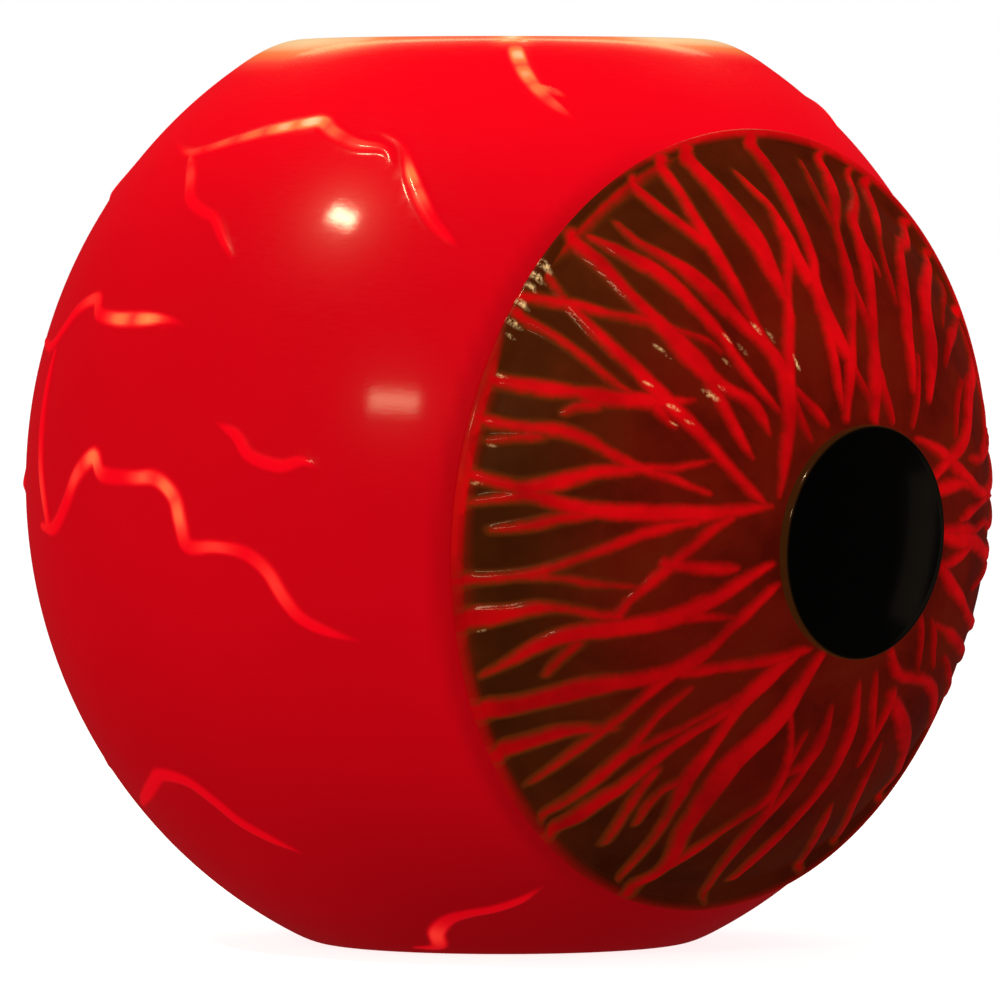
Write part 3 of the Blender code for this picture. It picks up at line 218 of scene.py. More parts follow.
# ---- Iris streaks --------------------------------------------------------------------------
# Each streak is (brightness, points). A point is (degrees, mm from the eye's axis, half width in
# mm). The degrees run anticlockwise from the right-hand side of the eye as it is looked at.
STREAKS = (
    (1.0, ((131.8, 150, 3.2), (132.5, 140, 3.0), (134, 130, 2.6), (135, 120, 3.0), (136, 110, 4.0),
           (137, 101, 4.4), (138, 92, 3.4), (137, 85, 2.4), (135.5, 77, 2.6), (136.5, 70, 2.2),
           (139, 64, 0.6))),
    (1.0, ((137.5, 97, 3.0), (140.5, 88, 2.6), (143, 81, 2.4), (146.5, 73, 1.8), (150, 65, 0.5))),
    (1.0, ((129.6, 146, 0.8), (128.4, 136, 2.6), (127.2, 126, 3.3), (127.2, 115, 3.0),
           (127.5, 105, 2.6), (128, 97, 2.0), (129.4, 88, 2.0), (130, 78, 1.8), (130, 66, 0.7))),
    (1.0, ((124.6, 143, 0.8), (125, 136, 1.5), (123.6, 127, 2.4), (122.4, 117, 3.4),
           (122, 107, 3.6), (121.4, 97, 2.8), (120, 87, 2.8), (119.5, 78, 3.0), (121.5, 71, 3.8),
           (125.5, 65, 3.6), (132, 59, 3.0), (140, 54.6, 2.6), (149, 51, 1.9), (158, 49, 0.6))),
    (0.8, ((122.5, 64, 1.4), (125, 57, 1.8), (126, 50, 0.8))),
    (1.0, ((144.5, 153, 2.2), (142.6, 145, 1.8), (141, 138, 2.2), (139.4, 130, 1.6),
           (137, 122, 1.8), (135, 115, 2.0))),
    (0.8, ((134.8, 112, 2.0), (132.6, 106, 1.3), (131.2, 101, 1.0), (130.7, 96, 0.5))),
    (0.8, ((139, 148, 0.6), (141.4, 141, 1.4))),
    (1.0, ((141.6, 140, 1.6), (143, 133, 2.2), (144.6, 124, 2.6), (146, 115, 2.6),
           (147.6, 107, 3.0), (149.2, 99, 3.2), (151, 90, 2.8), (153.2, 82, 2.5), (155.6, 75, 2.3),
           (158.4, 67, 2.1), (161, 60, 1.7), (164.5, 52, 0.8))),
    (1.0, ((147, 152, 2.0), (147.3, 141, 1.5), (148.3, 132, 1.4), (149.5, 124, 1.3),
           (150.6, 116, 1.2), (151, 110, 1.0))),
    (1.0, ((157.7, 151, 2.6), (157, 144, 2.8), (156, 136, 3.1), (154.8, 129, 2.4),
           (154.2, 123, 3.2), (152.8, 116, 3.2), (151.2, 110, 3.0), (149.6, 104, 2.6),
           (147, 98, 1.5), (144.8, 94, 0.5))),
    (1.0, ((158.8, 129.5, 0.5), (157, 126.5, 1.4), (155.6, 122, 1.8))),
    (0.8, ((150.5, 105, 2.4), (152.6, 99, 1.4), (153, 95.5, 0.5))),
    (1.0, ((163.5, 152, 2.4), (163.5, 145, 2.1), (163, 138, 2.2), (162, 130, 2.7), (162, 122, 2.4),
           (163, 115, 2.0), (164, 108, 1.9), (164.6, 100, 2.0), (164.6, 92, 1.6), (165.4, 84, 1.2),
           (165.8, 77, 0.5))),
    (0.9, ((166.4, 146, 0.7), (165, 140, 1.2), (163.8, 134, 1.4))),
    (1.0, ((171.8, 151, 2.6), (172.2, 143, 2.2), (172.6, 135, 3.0), (171, 128, 2.9),
           (169, 121, 2.7), (167, 114, 2.4), (165.4, 106, 2.1), (163.6, 98, 1.8), (162, 91, 1.3),
           (159, 84, 1.0), (156.3, 79, 0.4))),
    (1.0, ((176, 148, 0.8), (174.6, 140, 1.6), (173.6, 132, 2.5), (174.4, 124, 2.6),
           (174.6, 115, 3.1), (174.4, 105, 3.3), (173.6, 95, 3.3), (172.6, 85, 3.4),
           (171.9, 77, 3.1), (170.3, 70, 2.8), (168, 62, 2.0), (165.5, 56, 1.5), (163.5, 51, 0.8))),
    (1.0, ((179.8, 142, 1.0), (178.6, 133, 1.8), (177, 125, 1.9), (175.6, 116, 1.8))),
    (1.0, ((187.5, 153, 3.0), (187.3, 143, 1.9), (186.8, 135, 1.6), (186, 128, 1.7),
           (184.4, 121, 1.5), (182.8, 114, 1.6), (181, 107, 2.0), (179.2, 101, 2.2),
           (177.4, 94, 2.2), (175.8, 87, 2.0), (174, 80, 1.8))),
    (1.0, ((187, 135, 1.4), (187.4, 125, 1.1), (188.5, 117, 1.4), (189.4, 109, 1.2),
           (190.4, 100, 0.5))),
    (1.0, ((193.6, 154, 5.0), (193.3, 145, 4.0), (193, 138, 2.9), (192.5, 131, 2.5),
           (192.8, 125, 1.6), (193.8, 119, 1.3), (195.2, 113, 1.6), (196, 107, 1.8))),
    (1.0, ((202.5, 147, 0.5), (201, 140, 1.5), (199.5, 134, 2.2), (198.3, 127, 3.0),
           (198, 118, 3.3), (198.5, 108, 3.5), (199.1, 98, 3.6), (199.3, 88, 3.6), (198, 78, 3.4),
           (196, 68, 3.0), (193.5, 60, 2.4), (191, 53, 1.8), (189.4, 48, 1.0))),
    (0.8, ((204.4, 131.5, 0.5), (202.2, 127, 1.3), (200, 121, 1.8))),
    (0.9, ((199.5, 86, 3.0), (201.2, 79, 2.2), (203.4, 72.5, 1.4), (205.6, 66.5, 0.4))),
    (1.0, ((195.6, 107, 1.8), (193, 103, 1.5), (190.4, 97, 2.0), (187.6, 91.5, 2.4),
           (184.6, 86, 2.4), (181, 80, 2.2), (178, 76, 2.2), (174.5, 71.5, 2.2), (171.5, 67, 2.0))),
    (1.0, ((185.5, 90, 2.6), (186.4, 82, 2.4), (187.5, 75, 2.5), (188.5, 68, 2.2), (188.9, 63, 0.8))),
    (1.0, ((207.5, 154, 4.6), (208.4, 143, 3.8), (208.5, 135, 3.7), (208.6, 127, 4.0),
           (209, 119, 4.1), (210, 112, 3.4), (211, 105, 3.1), (212, 97, 3.4), (212.5, 90, 3.4),
           (212, 83, 2.8), (210.8, 76.5, 2.3), (208.5, 70, 2.4), (206.5, 63, 2.3), (204, 57, 2.2),
           (201.5, 51, 2.2), (199.8, 47, 1.2))),
    (1.0, ((215.3, 152, 3.8), (215.3, 142, 3.3), (215.3, 135, 3.0), (216, 129, 2.1),
           (217.6, 123, 1.6), (219.2, 118, 0.8))),
    (1.0, ((222.6, 146, 0.6), (221, 137, 1.5), (219.5, 129, 1.9), (218.1, 121, 2.1),
           (217, 114, 1.9), (215.5, 107, 1.9), (213.8, 99, 2.2), (213, 93, 2.2))),
    (1.0, ((213, 93, 2.2), (215.8, 86, 2.3), (218.2, 79, 2.2), (221.2, 72.5, 2.3), (225, 66, 2.3),
           (229.2, 60, 2.4), (233.4, 54, 2.4), (237.4, 50, 1.8), (241, 47.5, 0.8))),
    (0.9, ((229.2, 149, 1.2), (228.5, 140, 1.9), (227.5, 133, 2.3), (226, 125, 2.5),
           (224.8, 118, 2.5), (223, 112, 1.9), (221, 105, 1.7), (219.6, 97, 1.5), (219.2, 91, 0.5))),
    (0.95, ((232.4, 151, 2.0), (232.5, 142, 3.1), (231.6, 135, 3.3), (231.4, 127, 2.7),
            (230.5, 118, 2.3), (229.7, 108, 2.3), (230, 98, 2.0), (231, 89, 2.2), (232, 80, 3.0))),
    (0.8, ((225.5, 117, 2.2), (226, 110, 1.7), (227, 102, 1.2), (227.6, 95, 1.0), (229, 86, 1.3),
           (230.6, 77, 1.6))),
    (1.0, ((243, 120, 1.6), (241, 115, 3.0), (239, 109, 3.3), (237.2, 100, 3.1), (235.2, 90, 2.7),
           (233.2, 82, 3.4), (232.6, 74, 4.0), (233, 66, 4.0), (233.8, 60, 3.2), (236, 53, 2.0))),
    (0.8, ((240.5, 141, 1.2), (237.4, 132, 1.5), (234.6, 124, 1.7), (232.6, 116, 1.7))),
    (0.8, ((240.6, 131, 0.6), (238.6, 125, 1.4), (237.6, 118, 1.5), (238.6, 111, 2.0))),
    (0.8, ((249.6, 147, 1.0), (247.6, 138, 1.5), (246, 131, 1.5), (244, 124, 1.6), (242, 118, 2.2),
           (240, 112, 2.6))),
    (1.0, ((252.3, 152, 2.6), (254.3, 143, 2.8), (253.8, 136, 3.0), (251.6, 130, 3.0),
           (249.4, 124, 3.6), (247.6, 115, 4.6), (245.9, 105, 5.6), (245, 96, 5.6), (246, 87, 5.0),
           (247.6, 79, 4.6), (248.4, 71, 4.1), (248.2, 62, 3.5), (248.2, 54, 2.9), (249.2, 47, 2.4))),
    (0.85, ((254.5, 139, 2.4), (256, 129, 2.4), (257.5, 120, 1.8), (259.5, 113, 2.1),
            (261.5, 107, 2.8), (262.6, 100, 2.6), (262, 93, 2.6), (260, 86, 2.3), (257, 80, 1.5),
            (254, 75, 1.2), (250, 71, 1.2))),
    (0.75, ((269.4, 149, 1.0), (266.6, 139, 1.6), (265, 130, 2.6), (264.5, 120, 3.1),
            (265, 112, 3.1), (266.5, 105, 2.5), (267.6, 97, 2.5), (268.2, 89, 2.9),
            (269.5, 82, 3.2), (269.5, 75, 2.7), (268.4, 66, 0.8))),
    (0.75, ((265, 113, 2.2), (263.4, 103, 2.3), (262.4, 95, 2.2), (261.4, 86, 1.9), (262, 77, 0.7))),
    (0.7, ((263.8, 93, 1.8), (266, 91, 2.2), (268.2, 92, 2.0))),
    (0.8, ((271.5, 139, 2.2), (272.4, 129, 3.0), (274, 120, 2.7), (275.6, 112, 2.6),
           (277.5, 104, 2.8), (279.6, 96, 2.9), (280.6, 88, 2.9), (281.2, 80, 3.6),
           (281.2, 72, 3.2), (280.4, 64, 2.2), (280, 57, 0.8))),
    (0.6, ((291, 149, 1.6), (288.5, 138, 2.1), (287, 128, 2.4), (286, 120, 2.4), (285.4, 113, 1.0))),
    (0.55, ((299.4, 147, 1.8), (296.4, 133, 2.2), (294.6, 121, 2.4), (294.6, 110, 2.4),
            (295.6, 102, 1.8), (297.4, 94, 0.8))),
    (0.75, ((289.6, 97, 1.0), (291.6, 89, 2.4), (294.6, 82.5, 2.7), (297.6, 77, 2.8),
            (300, 71, 2.6))),
    (0.65, ((292, 86, 2.0), (290.8, 76, 1.9), (290, 66, 1.8), (290, 56, 0.8))),
    (0.75, ((311, 149, 2.0), (312.4, 138, 2.6), (310.4, 126, 2.8), (309.4, 113, 3.4),
            (308, 104, 4.2), (306, 95, 4.4), (303.5, 85, 3.6), (301, 77, 3.0), (298, 70, 1.8))),
    (0.8, ((324, 146, 1.2), (322.6, 132, 2.2), (320.6, 120, 2.4), (320.4, 110, 2.6),
           (320, 101, 2.9), (318.8, 94, 2.8), (317, 86, 2.5), (314, 79, 2.4), (310, 73, 2.3),
           (305, 66.5, 2.4), (301.4, 60, 2.6), (299.6, 51, 2.2))),
    (0.55, ((331, 150, 2.4), (329, 136, 2.6), (328, 122, 2.4), (327.4, 108, 1.8), (327, 98, 1.8),
            (326.4, 90, 0.9))),
    (0.55, ((321, 84, 0.8), (322.6, 76, 1.4), (325.6, 69, 1.5), (327.6, 61, 0.8))),
    (0.55, ((313, 74, 1.0), (316.4, 66, 1.6), (320.4, 58, 2.0), (323, 52, 1.6))),
    (0.75, ((337, 149, 1.6), (335.4, 134, 2.4), (334.6, 118, 2.6), (333.4, 104, 2.4),
            (332.4, 92, 2.6), (331.4, 82, 2.1), (329.8, 74, 1.3), (328.4, 67, 0.4))),
    (0.95, ((345, 150, 2.8), (342.4, 136, 3.0), (340.6, 120, 2.8), (340, 104, 2.2), (340.4, 92, 2.0),
            (341.4, 84, 2.4), (342, 76, 2.9), (343, 68, 3.2), (345, 60, 3.2), (347.6, 53, 2.2))),
    (0.85, ((351, 147, 1.0), (352.6, 132, 2.0), (351.4, 117, 2.2), (348.4, 104, 1.4), (346, 96, 0.6))),
    (1.0, ((357.6, 152, 3.2), (356, 138, 3.0), (354.4, 122, 3.2), (354.6, 106, 3.0), (356.4, 92, 3.4),
           (358, 80, 3.4), (358.6, 70, 3.6), (359.2, 60, 3.2), (361.4, 51, 2.4))),
    (0.9, ((356.2, 79, 1.8), (354, 72, 2.6), (352, 66, 2.4), (350, 60, 2.2), (348.4, 54, 1.8))),
    (0.8, ((364.4, 150, 1.6), (363, 136, 2.4), (361, 122, 2.2), (360.2, 110, 2.0), (361.6, 98, 1.4),
           (360.6, 86, 1.6), (361.2, 76, 2.6), (361.8, 66, 2.8), (363, 52, 2.2))),
    (0.85, ((5.6, 118, 0.8), (6.8, 106, 1.8), (7, 94, 1.8), (6.4, 83, 1.7), (6, 76, 2.3), (5, 68, 0.8))),
    (0.95, ((12, 150, 2.6), (10.6, 136, 2.8), (8.4, 120, 2.6), (7.8, 104, 2.2), (9.8, 91, 2.6),
            (13, 84, 2.8), (17, 77, 2.8), (20.4, 72, 3.0), (25, 67, 2.8), (31, 62.6, 2.7),
            (38, 57.4, 2.4), (44, 54, 1.8), (51, 50.5, 0.8))),
    (0.8, ((17, 128, 0.8), (16, 114, 2.0), (16.4, 101, 2.0), (18, 92, 1.9), (20.4, 84, 0.6))),
    (0.85, ((22, 150, 2.4), (23.4, 136, 2.6), (21.6, 124, 2.4), (19, 112, 1.6), (17.6, 102, 1.4))),
    (0.85, ((13, 80, 0.8), (16.6, 71, 2.4), (18.6, 63, 2.8), (20.6, 56, 3.0), (22, 50, 2.4))),
    (1.0, ((33, 150, 3.0), (32.4, 138, 3.4), (30.4, 126, 3.4), (30.6, 114, 3.6), (31.6, 106, 4.4),
           (30.4, 97, 4.4), (28, 90, 3.7), (26.6, 83, 3.6), (26.8, 75, 3.2), (27.6, 67, 2.8),
           (28.6, 59, 2.4), (29, 51, 2.0))),
    (0.7, ((36, 136, 1.2), (39, 126, 1.8), (41, 118, 2.4), (43, 110, 2.6), (44, 103, 2.0),
           (44.6, 94, 0.8))),
    (0.6, ((40, 146, 1.8), (42.4, 134, 1.6), (45.4, 122, 1.4), (46.4, 112, 0.6))),
    (0.6, ((36, 100, 1.4), (36, 90, 1.8), (34, 82, 1.6), (31, 76, 1.2))),
    (1.0, ((44.6, 150, 2.2), (47.4, 138, 2.5), (50.6, 128, 3.0), (53, 119, 4.0), (54.4, 110, 4.5),
           (54, 102, 4.8), (52.6, 95, 4.9), (51.6, 87, 4.2), (51, 80, 3.2), (49.6, 71, 1.4))),
    (1.0, ((51.6, 150, 1.8), (54.4, 141, 2.4), (56, 135, 2.5), (58.4, 130, 2.0), (60.4, 126, 1.6))),
    (0.7, ((58.4, 82, 1.4), (57.5, 72, 2.0), (56, 63, 1.8), (55.4, 54, 1.0))),
    (0.85, ((59.4, 130, 1.6), (61.8, 119, 3.0), (62.8, 109, 3.6), (63.2, 99, 3.7), (63.4, 90, 3.6),
            (62.4, 82, 3.3), (61, 75, 2.8), (59.4, 67, 1.4))),
    (1.0, ((63.4, 150, 2.8), (65, 140, 3.1), (66.2, 132, 2.6), (67.6, 124, 1.2))),
    (0.5, ((68, 122, 1.0), (68.6, 113, 1.4), (68, 105, 1.4), (67, 98, 0.6))),
    (1.0, ((67.6, 150, 1.4), (70, 138, 1.7), (72.6, 131, 1.8), (75, 125, 2.8), (75.5, 117, 3.4),
           (75.6, 110, 3.7), (76.4, 102, 3.4), (77.2, 95, 3.0), (78.5, 86, 3.0), (79.4, 78, 2.9),
           (79.9, 70, 3.3), (80.6, 62, 3.7), (82, 54, 3.0), (83, 48, 2.4))),
    (0.95, ((78.6, 66, 3.0), (76.4, 60, 2.6), (73, 55, 2.0), (69.6, 50, 1.2))),
    (0.8, ((71.6, 107, 0.6), (73, 111, 1.6), (74.6, 116, 2.0))),
    (1.0, ((74.8, 151, 1.8), (76, 141, 3.2), (77.4, 134, 3.4), (79.4, 127, 2.6), (81.4, 121, 2.0),
           (82.4, 113, 2.0), (83, 105, 2.8), (84, 98, 3.1), (85.6, 90, 2.6), (87.4, 83, 2.3),
           (89.4, 76.5, 2.5), (91.4, 70, 2.9), (93.6, 64, 2.6), (96, 59, 2.0), (99, 54, 1.8),
           (101.8, 49, 1.6))),
    (0.8, ((81, 144, 0.6), (82, 136, 1.3), (82.4, 126, 1.4), (82, 119, 1.4))),
    (0.95, ((83.6, 100, 2.4), (82, 92, 2.1), (81, 86, 2.0), (80, 79, 2.0))),
    (0.8, ((91.4, 67, 2.0), (89, 62, 1.6), (86.6, 58, 1.4), (84.4, 53.6, 0.8))),
    (1.0, ((90.8, 151, 3.8), (90.6, 142, 3.4), (91, 133, 3.4), (91.6, 124, 2.8), (92, 115, 2.3),
           (93, 107, 2.4), (95, 101, 3.0), (96, 94, 3.7), (96, 86, 4.2), (95, 79, 4.2),
           (93, 73, 3.2), (91.4, 67, 2.4))),
    (1.0, ((98.4, 140, 0.6), (97.6, 133, 1.6), (96.6, 127, 1.9), (97, 118, 3.3), (97.3, 110, 3.5),
           (97, 101, 3.4))),
    (1.0, ((98, 113, 2.8), (100.6, 107, 2.2), (103.2, 102, 1.7), (106, 96, 2.2), (109, 89.6, 2.8),
           (112.6, 83, 2.7), (116, 77, 2.5), (119, 73.4, 3.0), (122, 69.6, 3.4))),
    (1.0, ((97.4, 82, 3.0), (98.6, 74, 2.5), (99.6, 67, 2.2), (101, 60, 1.6), (102.2, 53, 0.7))),
    (1.0, ((105, 151, 3.6), (105, 143, 3.7), (105, 135, 4.6), (105, 127, 5.2), (105, 118, 5.2),
           (105.6, 110, 4.2), (106.2, 102, 2.8), (107.2, 94, 2.2))),
    (1.0, ((110.4, 151, 3.2), (111.4, 141, 2.3), (113, 132, 2.4), (114.4, 124, 3.0),
           (115.5, 116, 3.2), (116.5, 108, 2.7), (117.6, 101, 2.3), (118.6, 94, 2.1),
           (119.4, 86, 2.5), (120, 78, 3.0))),
    (1.0, ((117, 150, 2.0), (117, 140, 2.2), (116.4, 132, 2.4), (115.4, 124, 2.6))),
    (0.8, ((119.6, 67, 1.8), (118, 61, 1.9), (116, 56, 2.0), (114.2, 50, 1.2))),
)

# How the red light comes up across the rim: degrees, then the mm from the eye's axis at which it
# starts and is full.
RIM_GLOW = (
    (0, 149.5, 152.5), (80, 149.5, 152), (100, 150, 152.4), (115, 152, 155), (125, 153.5, 156.5),
    (150, 152.5, 156), (158, 146.5, 151), (170, 146.5, 150.5), (180, 146, 152.5), (190, 145, 155),
    (200, 147, 157), (220, 147, 155.5), (240, 148, 156.5), (260, 150, 157), (280, 149.5, 155),
    (360, 149.5, 152.5),
)

# Painted glints: small bright highlights on the streaks: degrees, mm from the eye's axis,
# reach along the streak in mm, brightness.
PAINTED_GLINTS = (
    (138.4, 152.2, 4.2, 1.0), (140.6, 152, 3.6, 1.0), (142.4, 151.6, 3.0, 0.8), (145.4, 151.4, 3.2, 0.9),
    (148.6, 151, 3.2, 1.0), (150.6, 150, 2.2, 0.7),
    (156.5, 147.5, 1.4, 0.7), (163.4, 147, 1.2, 0.4), (167, 145, 1.6, 0.4), (173, 147, 1.4, 0.5),
    (195.6, 145.5, 1.4, 0.5), (139.6, 112.5, 2.4, 0.6), (139.8, 108.5, 1.6, 0.5),
    (147.6, 110, 1.8, 0.7), (149.4, 99.4, 2.2, 0.9), (152.6, 97, 1.6, 0.6), (150.6, 92.5, 2.0, 0.5),
    (127.4, 97, 2.4, 0.6), (126, 91, 3.4, 0.35), (131.8, 92, 2.4, 0.4), (138.4, 88, 1.8, 0.6),
    (141.6, 90, 3.4, 0.6), (114, 75.4, 2.6, 0.9), (116.6, 88, 3.4, 0.35), (119.4, 93, 2.6, 0.6),
)


# ---- Settings ------------------------------------------------------------------------------
class BallSettings(PropertyGroup):
    half_width: FloatProperty(
        name="Half width",
        description="Half the ball's width, from its upright axis to its widest point",
        default=0.200, unit="LENGTH",
    )
    half_height: FloatProperty(
        name="Half height",
        description="Half the height the ball would have without its flats",
        default=0.2096, unit="LENGTH",
    )
    top_flat: FloatProperty(
        name="Top flat radius",
        description="Distance from the axis at which the top flat cuts the ball",
        default=0.0925, unit="LENGTH",
    )
    base_flat: FloatProperty(
        name="Base flat radius",
        description="Distance from the axis at which the floor cuts the ball",
        default=0.080, unit="LENGTH",
    )
    shoulder_drop: FloatProperty(
        name="Shoulder drop",
        description="How far below its flat each rounded shoulder starts",
        default=0.012, unit="LENGTH",
    )
    shoulder_corner: FloatProperty(
        name="Shoulder corner",
        description="How far the shoulder's rounding control stands in from the flat's edge",
        default=0.009, unit="LENGTH",
    )
    wall: FloatProperty(
        name="Wall",
        description="Thickness of the moulded wall",
        default=0.004, unit="LENGTH",
    )
    vein_height: FloatProperty(
        name="Vein height",
        description="How far the raised veins stand out of the wall",
        default=0.0012, unit="LENGTH",
    )
    glow: FloatVectorProperty(
        name="Glow",
        description="Colour of the light that comes through the wall",
        default=(1.0, 0.0006, 0.009), subtype="COLOR",
    )
    # Colour of the hottest painted highlights on the veins and along the top shoulder.
    heat: FloatVectorProperty(
        name="Hot glow",
        description="Colour of the light through the thinnest places over the veins",
        default=(1.0, 0.68, 0.34), subtype="COLOR",
    )
    steps: IntProperty(
        name="Steps round",
        description="Number of faces round the ball before the veins are refined",
        default=240,
    )


class EyeSettings(PropertyGroup):
    tilt: FloatProperty(
        name="Tilt",
        description="How far the eye looks down",
        default=math.radians(5.0), subtype="ANGLE",
    )
    seat: FloatProperty(
        name="Seat height",
        description="Height of the cut that the iris sits on, along the eye's axis from the centre",
        default=0.13045, unit="LENGTH",
    )
    dome_radius: FloatProperty(
        name="Dome radius",
        description="Radius of the iris dome's sphere",
        default=0.1769, unit="LENGTH",
    )
    dome_centre: FloatProperty(
        name="Dome centre",
        description="Height of the dome sphere's centre along the eye's axis",
        default=0.0391, unit="LENGTH",
    )
    edge: FloatProperty(
        name="Dome edge",
        description="Distance from the eye's axis at which the dome meets its rim",
        default=0.148, unit="LENGTH",
    )
    rim: FloatProperty(
        name="Rim radius",
        description="Outer radius of the iris rim",
        default=0.1536, unit="LENGTH",
    )
    pupil: FloatProperty(
        name="Pupil radius",
        description="Radius of the raised black pupil",
        default=0.0455, unit="LENGTH",
    )
    facet_depth: FloatProperty(
        name="Facet depth",
        description="How far the painted facets lie below the raised streaks",
        default=0.0013, unit="LENGTH",
    )
    streak_glow: FloatVectorProperty(
        name="Streak glow",
        description="Colour of the light through the raised streaks",
        default=(0.78, 0.0018, 0.0040), subtype="COLOR",
    )
    olive: FloatVectorProperty(
        name="Outer facet colour",
        description="Colour of the painted facets near the rim",
        default=(0.056, 0.0100, 0.0010), subtype="COLOR",
    )
    umber: FloatVectorProperty(
        name="Inner facet colour",
        description="Colour of the painted facets near the pupil",
        default=(0.125, 0.0044, 0.0010), subtype="COLOR",
    )


class StudioSettings(PropertyGroup):
    floor: FloatVectorProperty(
        name="Floor",
        description="Colour of the studio floor",
        default=(0.93, 0.93, 0.93), subtype="COLOR",
    )
    ambient: FloatProperty(
        name="Ambient light",
        description="Brightness of the even light from all round",
        default=0.3,
    )
    lens: FloatProperty(
        name="Lens",
        description="Focal length of the camera in mm",
        default=343.4, unit="CAMERA",
    )


def settings(context):
    return context.scene.eyeball_lamp


class LampSettings(PropertyGroup):
    ball: PointerProperty(type=BallSettings, name="Ball", description="Sizes of the moulded ball")
    eye: PointerProperty(type=EyeSettings, name="Eye", description="Sizes of the iris and pupil")
    studio: PointerProperty(type=StudioSettings, name="Studio", description="Floor, light, camera")


# ---- Node materials ------------------------------------------------------------------------
class Finish:
    """A material built up node by node round one Principled shader."""

    def __init__(self, name, **fixed):
        self.material = bpy.data.materials.new(name)
        self.material.use_nodes = True
        self.tree = self.material.node_tree
        self.shader = self.tree.nodes["Principled BSDF"]
        for key, value in fixed.items():
            self.shader.inputs[key.replace("_", " ")].default_value = value
        self.place = self.add("ShaderNodeTexCoord").outputs["Object"]

    def add(self, kind, **values):
        """A new node; a value is either a number or colour, or another node's output."""
        node = self.tree.nodes.new(kind)
        node.location = (-220 * len(self.tree.nodes), 300)
        for key, value in values.items():
            self.feed(node.inputs[key.replace("_", " ")], value)
        return node

    def feed(self, socket, value):
        if isinstance(value, bpy.types.NodeSocket):
            self.tree.links.new(value, socket)
        else:
            socket.default_value = value

    def set(self, name, value):
        self.feed(self.shader.inputs[name], value)

    def noise(self, scale, detail=3.0, roughness=0.5, stretch=None):
        place = self.place
        if stretch is not None:
            place = self.add("ShaderNodeMapping", Vector=place, Scale=stretch).outputs[0]
        return self.add(
            "ShaderNodeTexNoise", Vector=place, Scale=scale, Detail=detail, Roughness=roughness
        ).outputs["Fac"]

    def ramp(self, value, stops, smooth=False):
        """A colour ramp over the value. Each stop is (position, grey or colour)."""
        node = self.add("ShaderNodeValToRGB", Fac=value)
        node.color_ramp.interpolation = "EASE" if smooth else "LINEAR"
        elements = node.color_ramp.elements
        while len(elements) < len(stops):
            elements.new(0.5)
        for element, (position, colour) in zip(elements, stops):
            element.position = position
            if isinstance(colour, (int, float)):
                colour = (colour, colour, colour)
            element.color = (*colour, 1.0)
        return node.outputs["Color"]

    def spread(self, value, low, high, to_low=0.0, to_high=1.0, smooth=False):
        node = self.tree.nodes.new("ShaderNodeMapRange")
        if smooth:
            node.interpolation_type = "SMOOTHSTEP"
        self.feed(node.inputs["Value"], value)
        for key, number in zip(("From Min", "From Max", "To Min", "To Max"), (low, high, to_low, to_high)):
            node.inputs[key].default_value = number
        return node.outputs["Result"]

    def sum(self, operation, first, second):
        node = self.tree.nodes.new("ShaderNodeMath")
        node.operation = operation
        self.feed(node.inputs[0], first)
        self.feed(node.inputs[1], second)
        return node.outputs[0]

    def mix(self, factor, first, second, kind="MIX"):
        node = self.tree.nodes.new("ShaderNodeMix")
        node.data_type = "RGBA"
        node.blend_type = kind
        self.feed(node.inputs["Factor"], factor)
        colours = [socket for socket in node.inputs if socket.type == "RGBA"]
        for socket, value in zip(colours, (first, second)):
            if not isinstance(value, bpy.types.NodeSocket):
                value = (*value, 1.0)
            self.feed(socket, value)
        return [socket for socket in node.outputs if socket.type == "RGBA"][0]

    def attribute(self, name):
        node = self.tree.nodes.new("ShaderNodeAttribute")
        node.attribute_name = name
        return node.outputs["Fac"]

    def axis(self, letter):
        node = self.add("ShaderNodeSeparateXYZ", Vector=self.place)
        return node.outputs[letter]

    def bump(self, height, strength, distance):
        node = self.add("ShaderNodeBump", Height=height, Strength=strength, Distance=distance)
        self.set("Normal", node.outputs["Normal"])
        self.set("Coat Normal", node.outputs["Normal"])


def dim(colour, factor):
    return tuple(channel * factor for channel in colour)


def moulded(name, colour, grain=900.0, roughness=0.45, depth=0.00012, **fixed):
    """Moulded plastic with a fine grain and faint flow marks."""
    finish = Finish(name, **fixed)
    flow = finish.noise(18.0, 4.0, 0.6, (1.0, 1.0, 2.4))
    fine = finish.noise(grain, 2.0)
    finish.set("Base Color", finish.ramp(flow, ((0.25, dim(colour, 0.86)), (0.75, dim(colour, 1.08)))))
    finish.set("Roughness", finish.spread(flow, 0.3, 0.7, roughness - 0.06, roughness + 0.08))
    finish.bump(fine, 0.35, depth)
    return finish.material


def plated(name, colour=(0.62, 0.61, 0.58)):
    """Zinc-plated steel with fine turned lines and dull patches."""
    finish = Finish(name, Metallic=1.0)
    lines = finish.noise(260.0, 2.0, 0.6, (1.0, 1.0, 6.0))
    cloud = finish.noise(120.0, 4.0)
    finish.set("Base Color", finish.ramp(cloud, ((0.3, dim(colour, 0.72)), (0.7, dim(colour, 1.1)))))
    finish.set("Roughness", finish.spread(lines, 0.3, 0.7, 0.24, 0.46))
    finish.bump(lines, 0.3, 0.00008)
    return finish.material


def rubbery(name, colour=(0.022, 0.021, 0.021)):
    """Matt rubber with a pebbled skin and a dusty bloom."""
    finish = Finish(name)
    bloom = finish.noise(45.0, 4.0, 0.6)
    pebble = finish.noise(1400.0, 2.0)
    finish.set("Base Color", finish.ramp(bloom, ((0.3, colour), (0.8, dim(colour, 2.2)))))
    finish.set("Roughness", finish.spread(bloom, 0.3, 0.7, 0.62, 0.85))
    finish.bump(pebble, 0.5, 0.0002)
    return finish.material


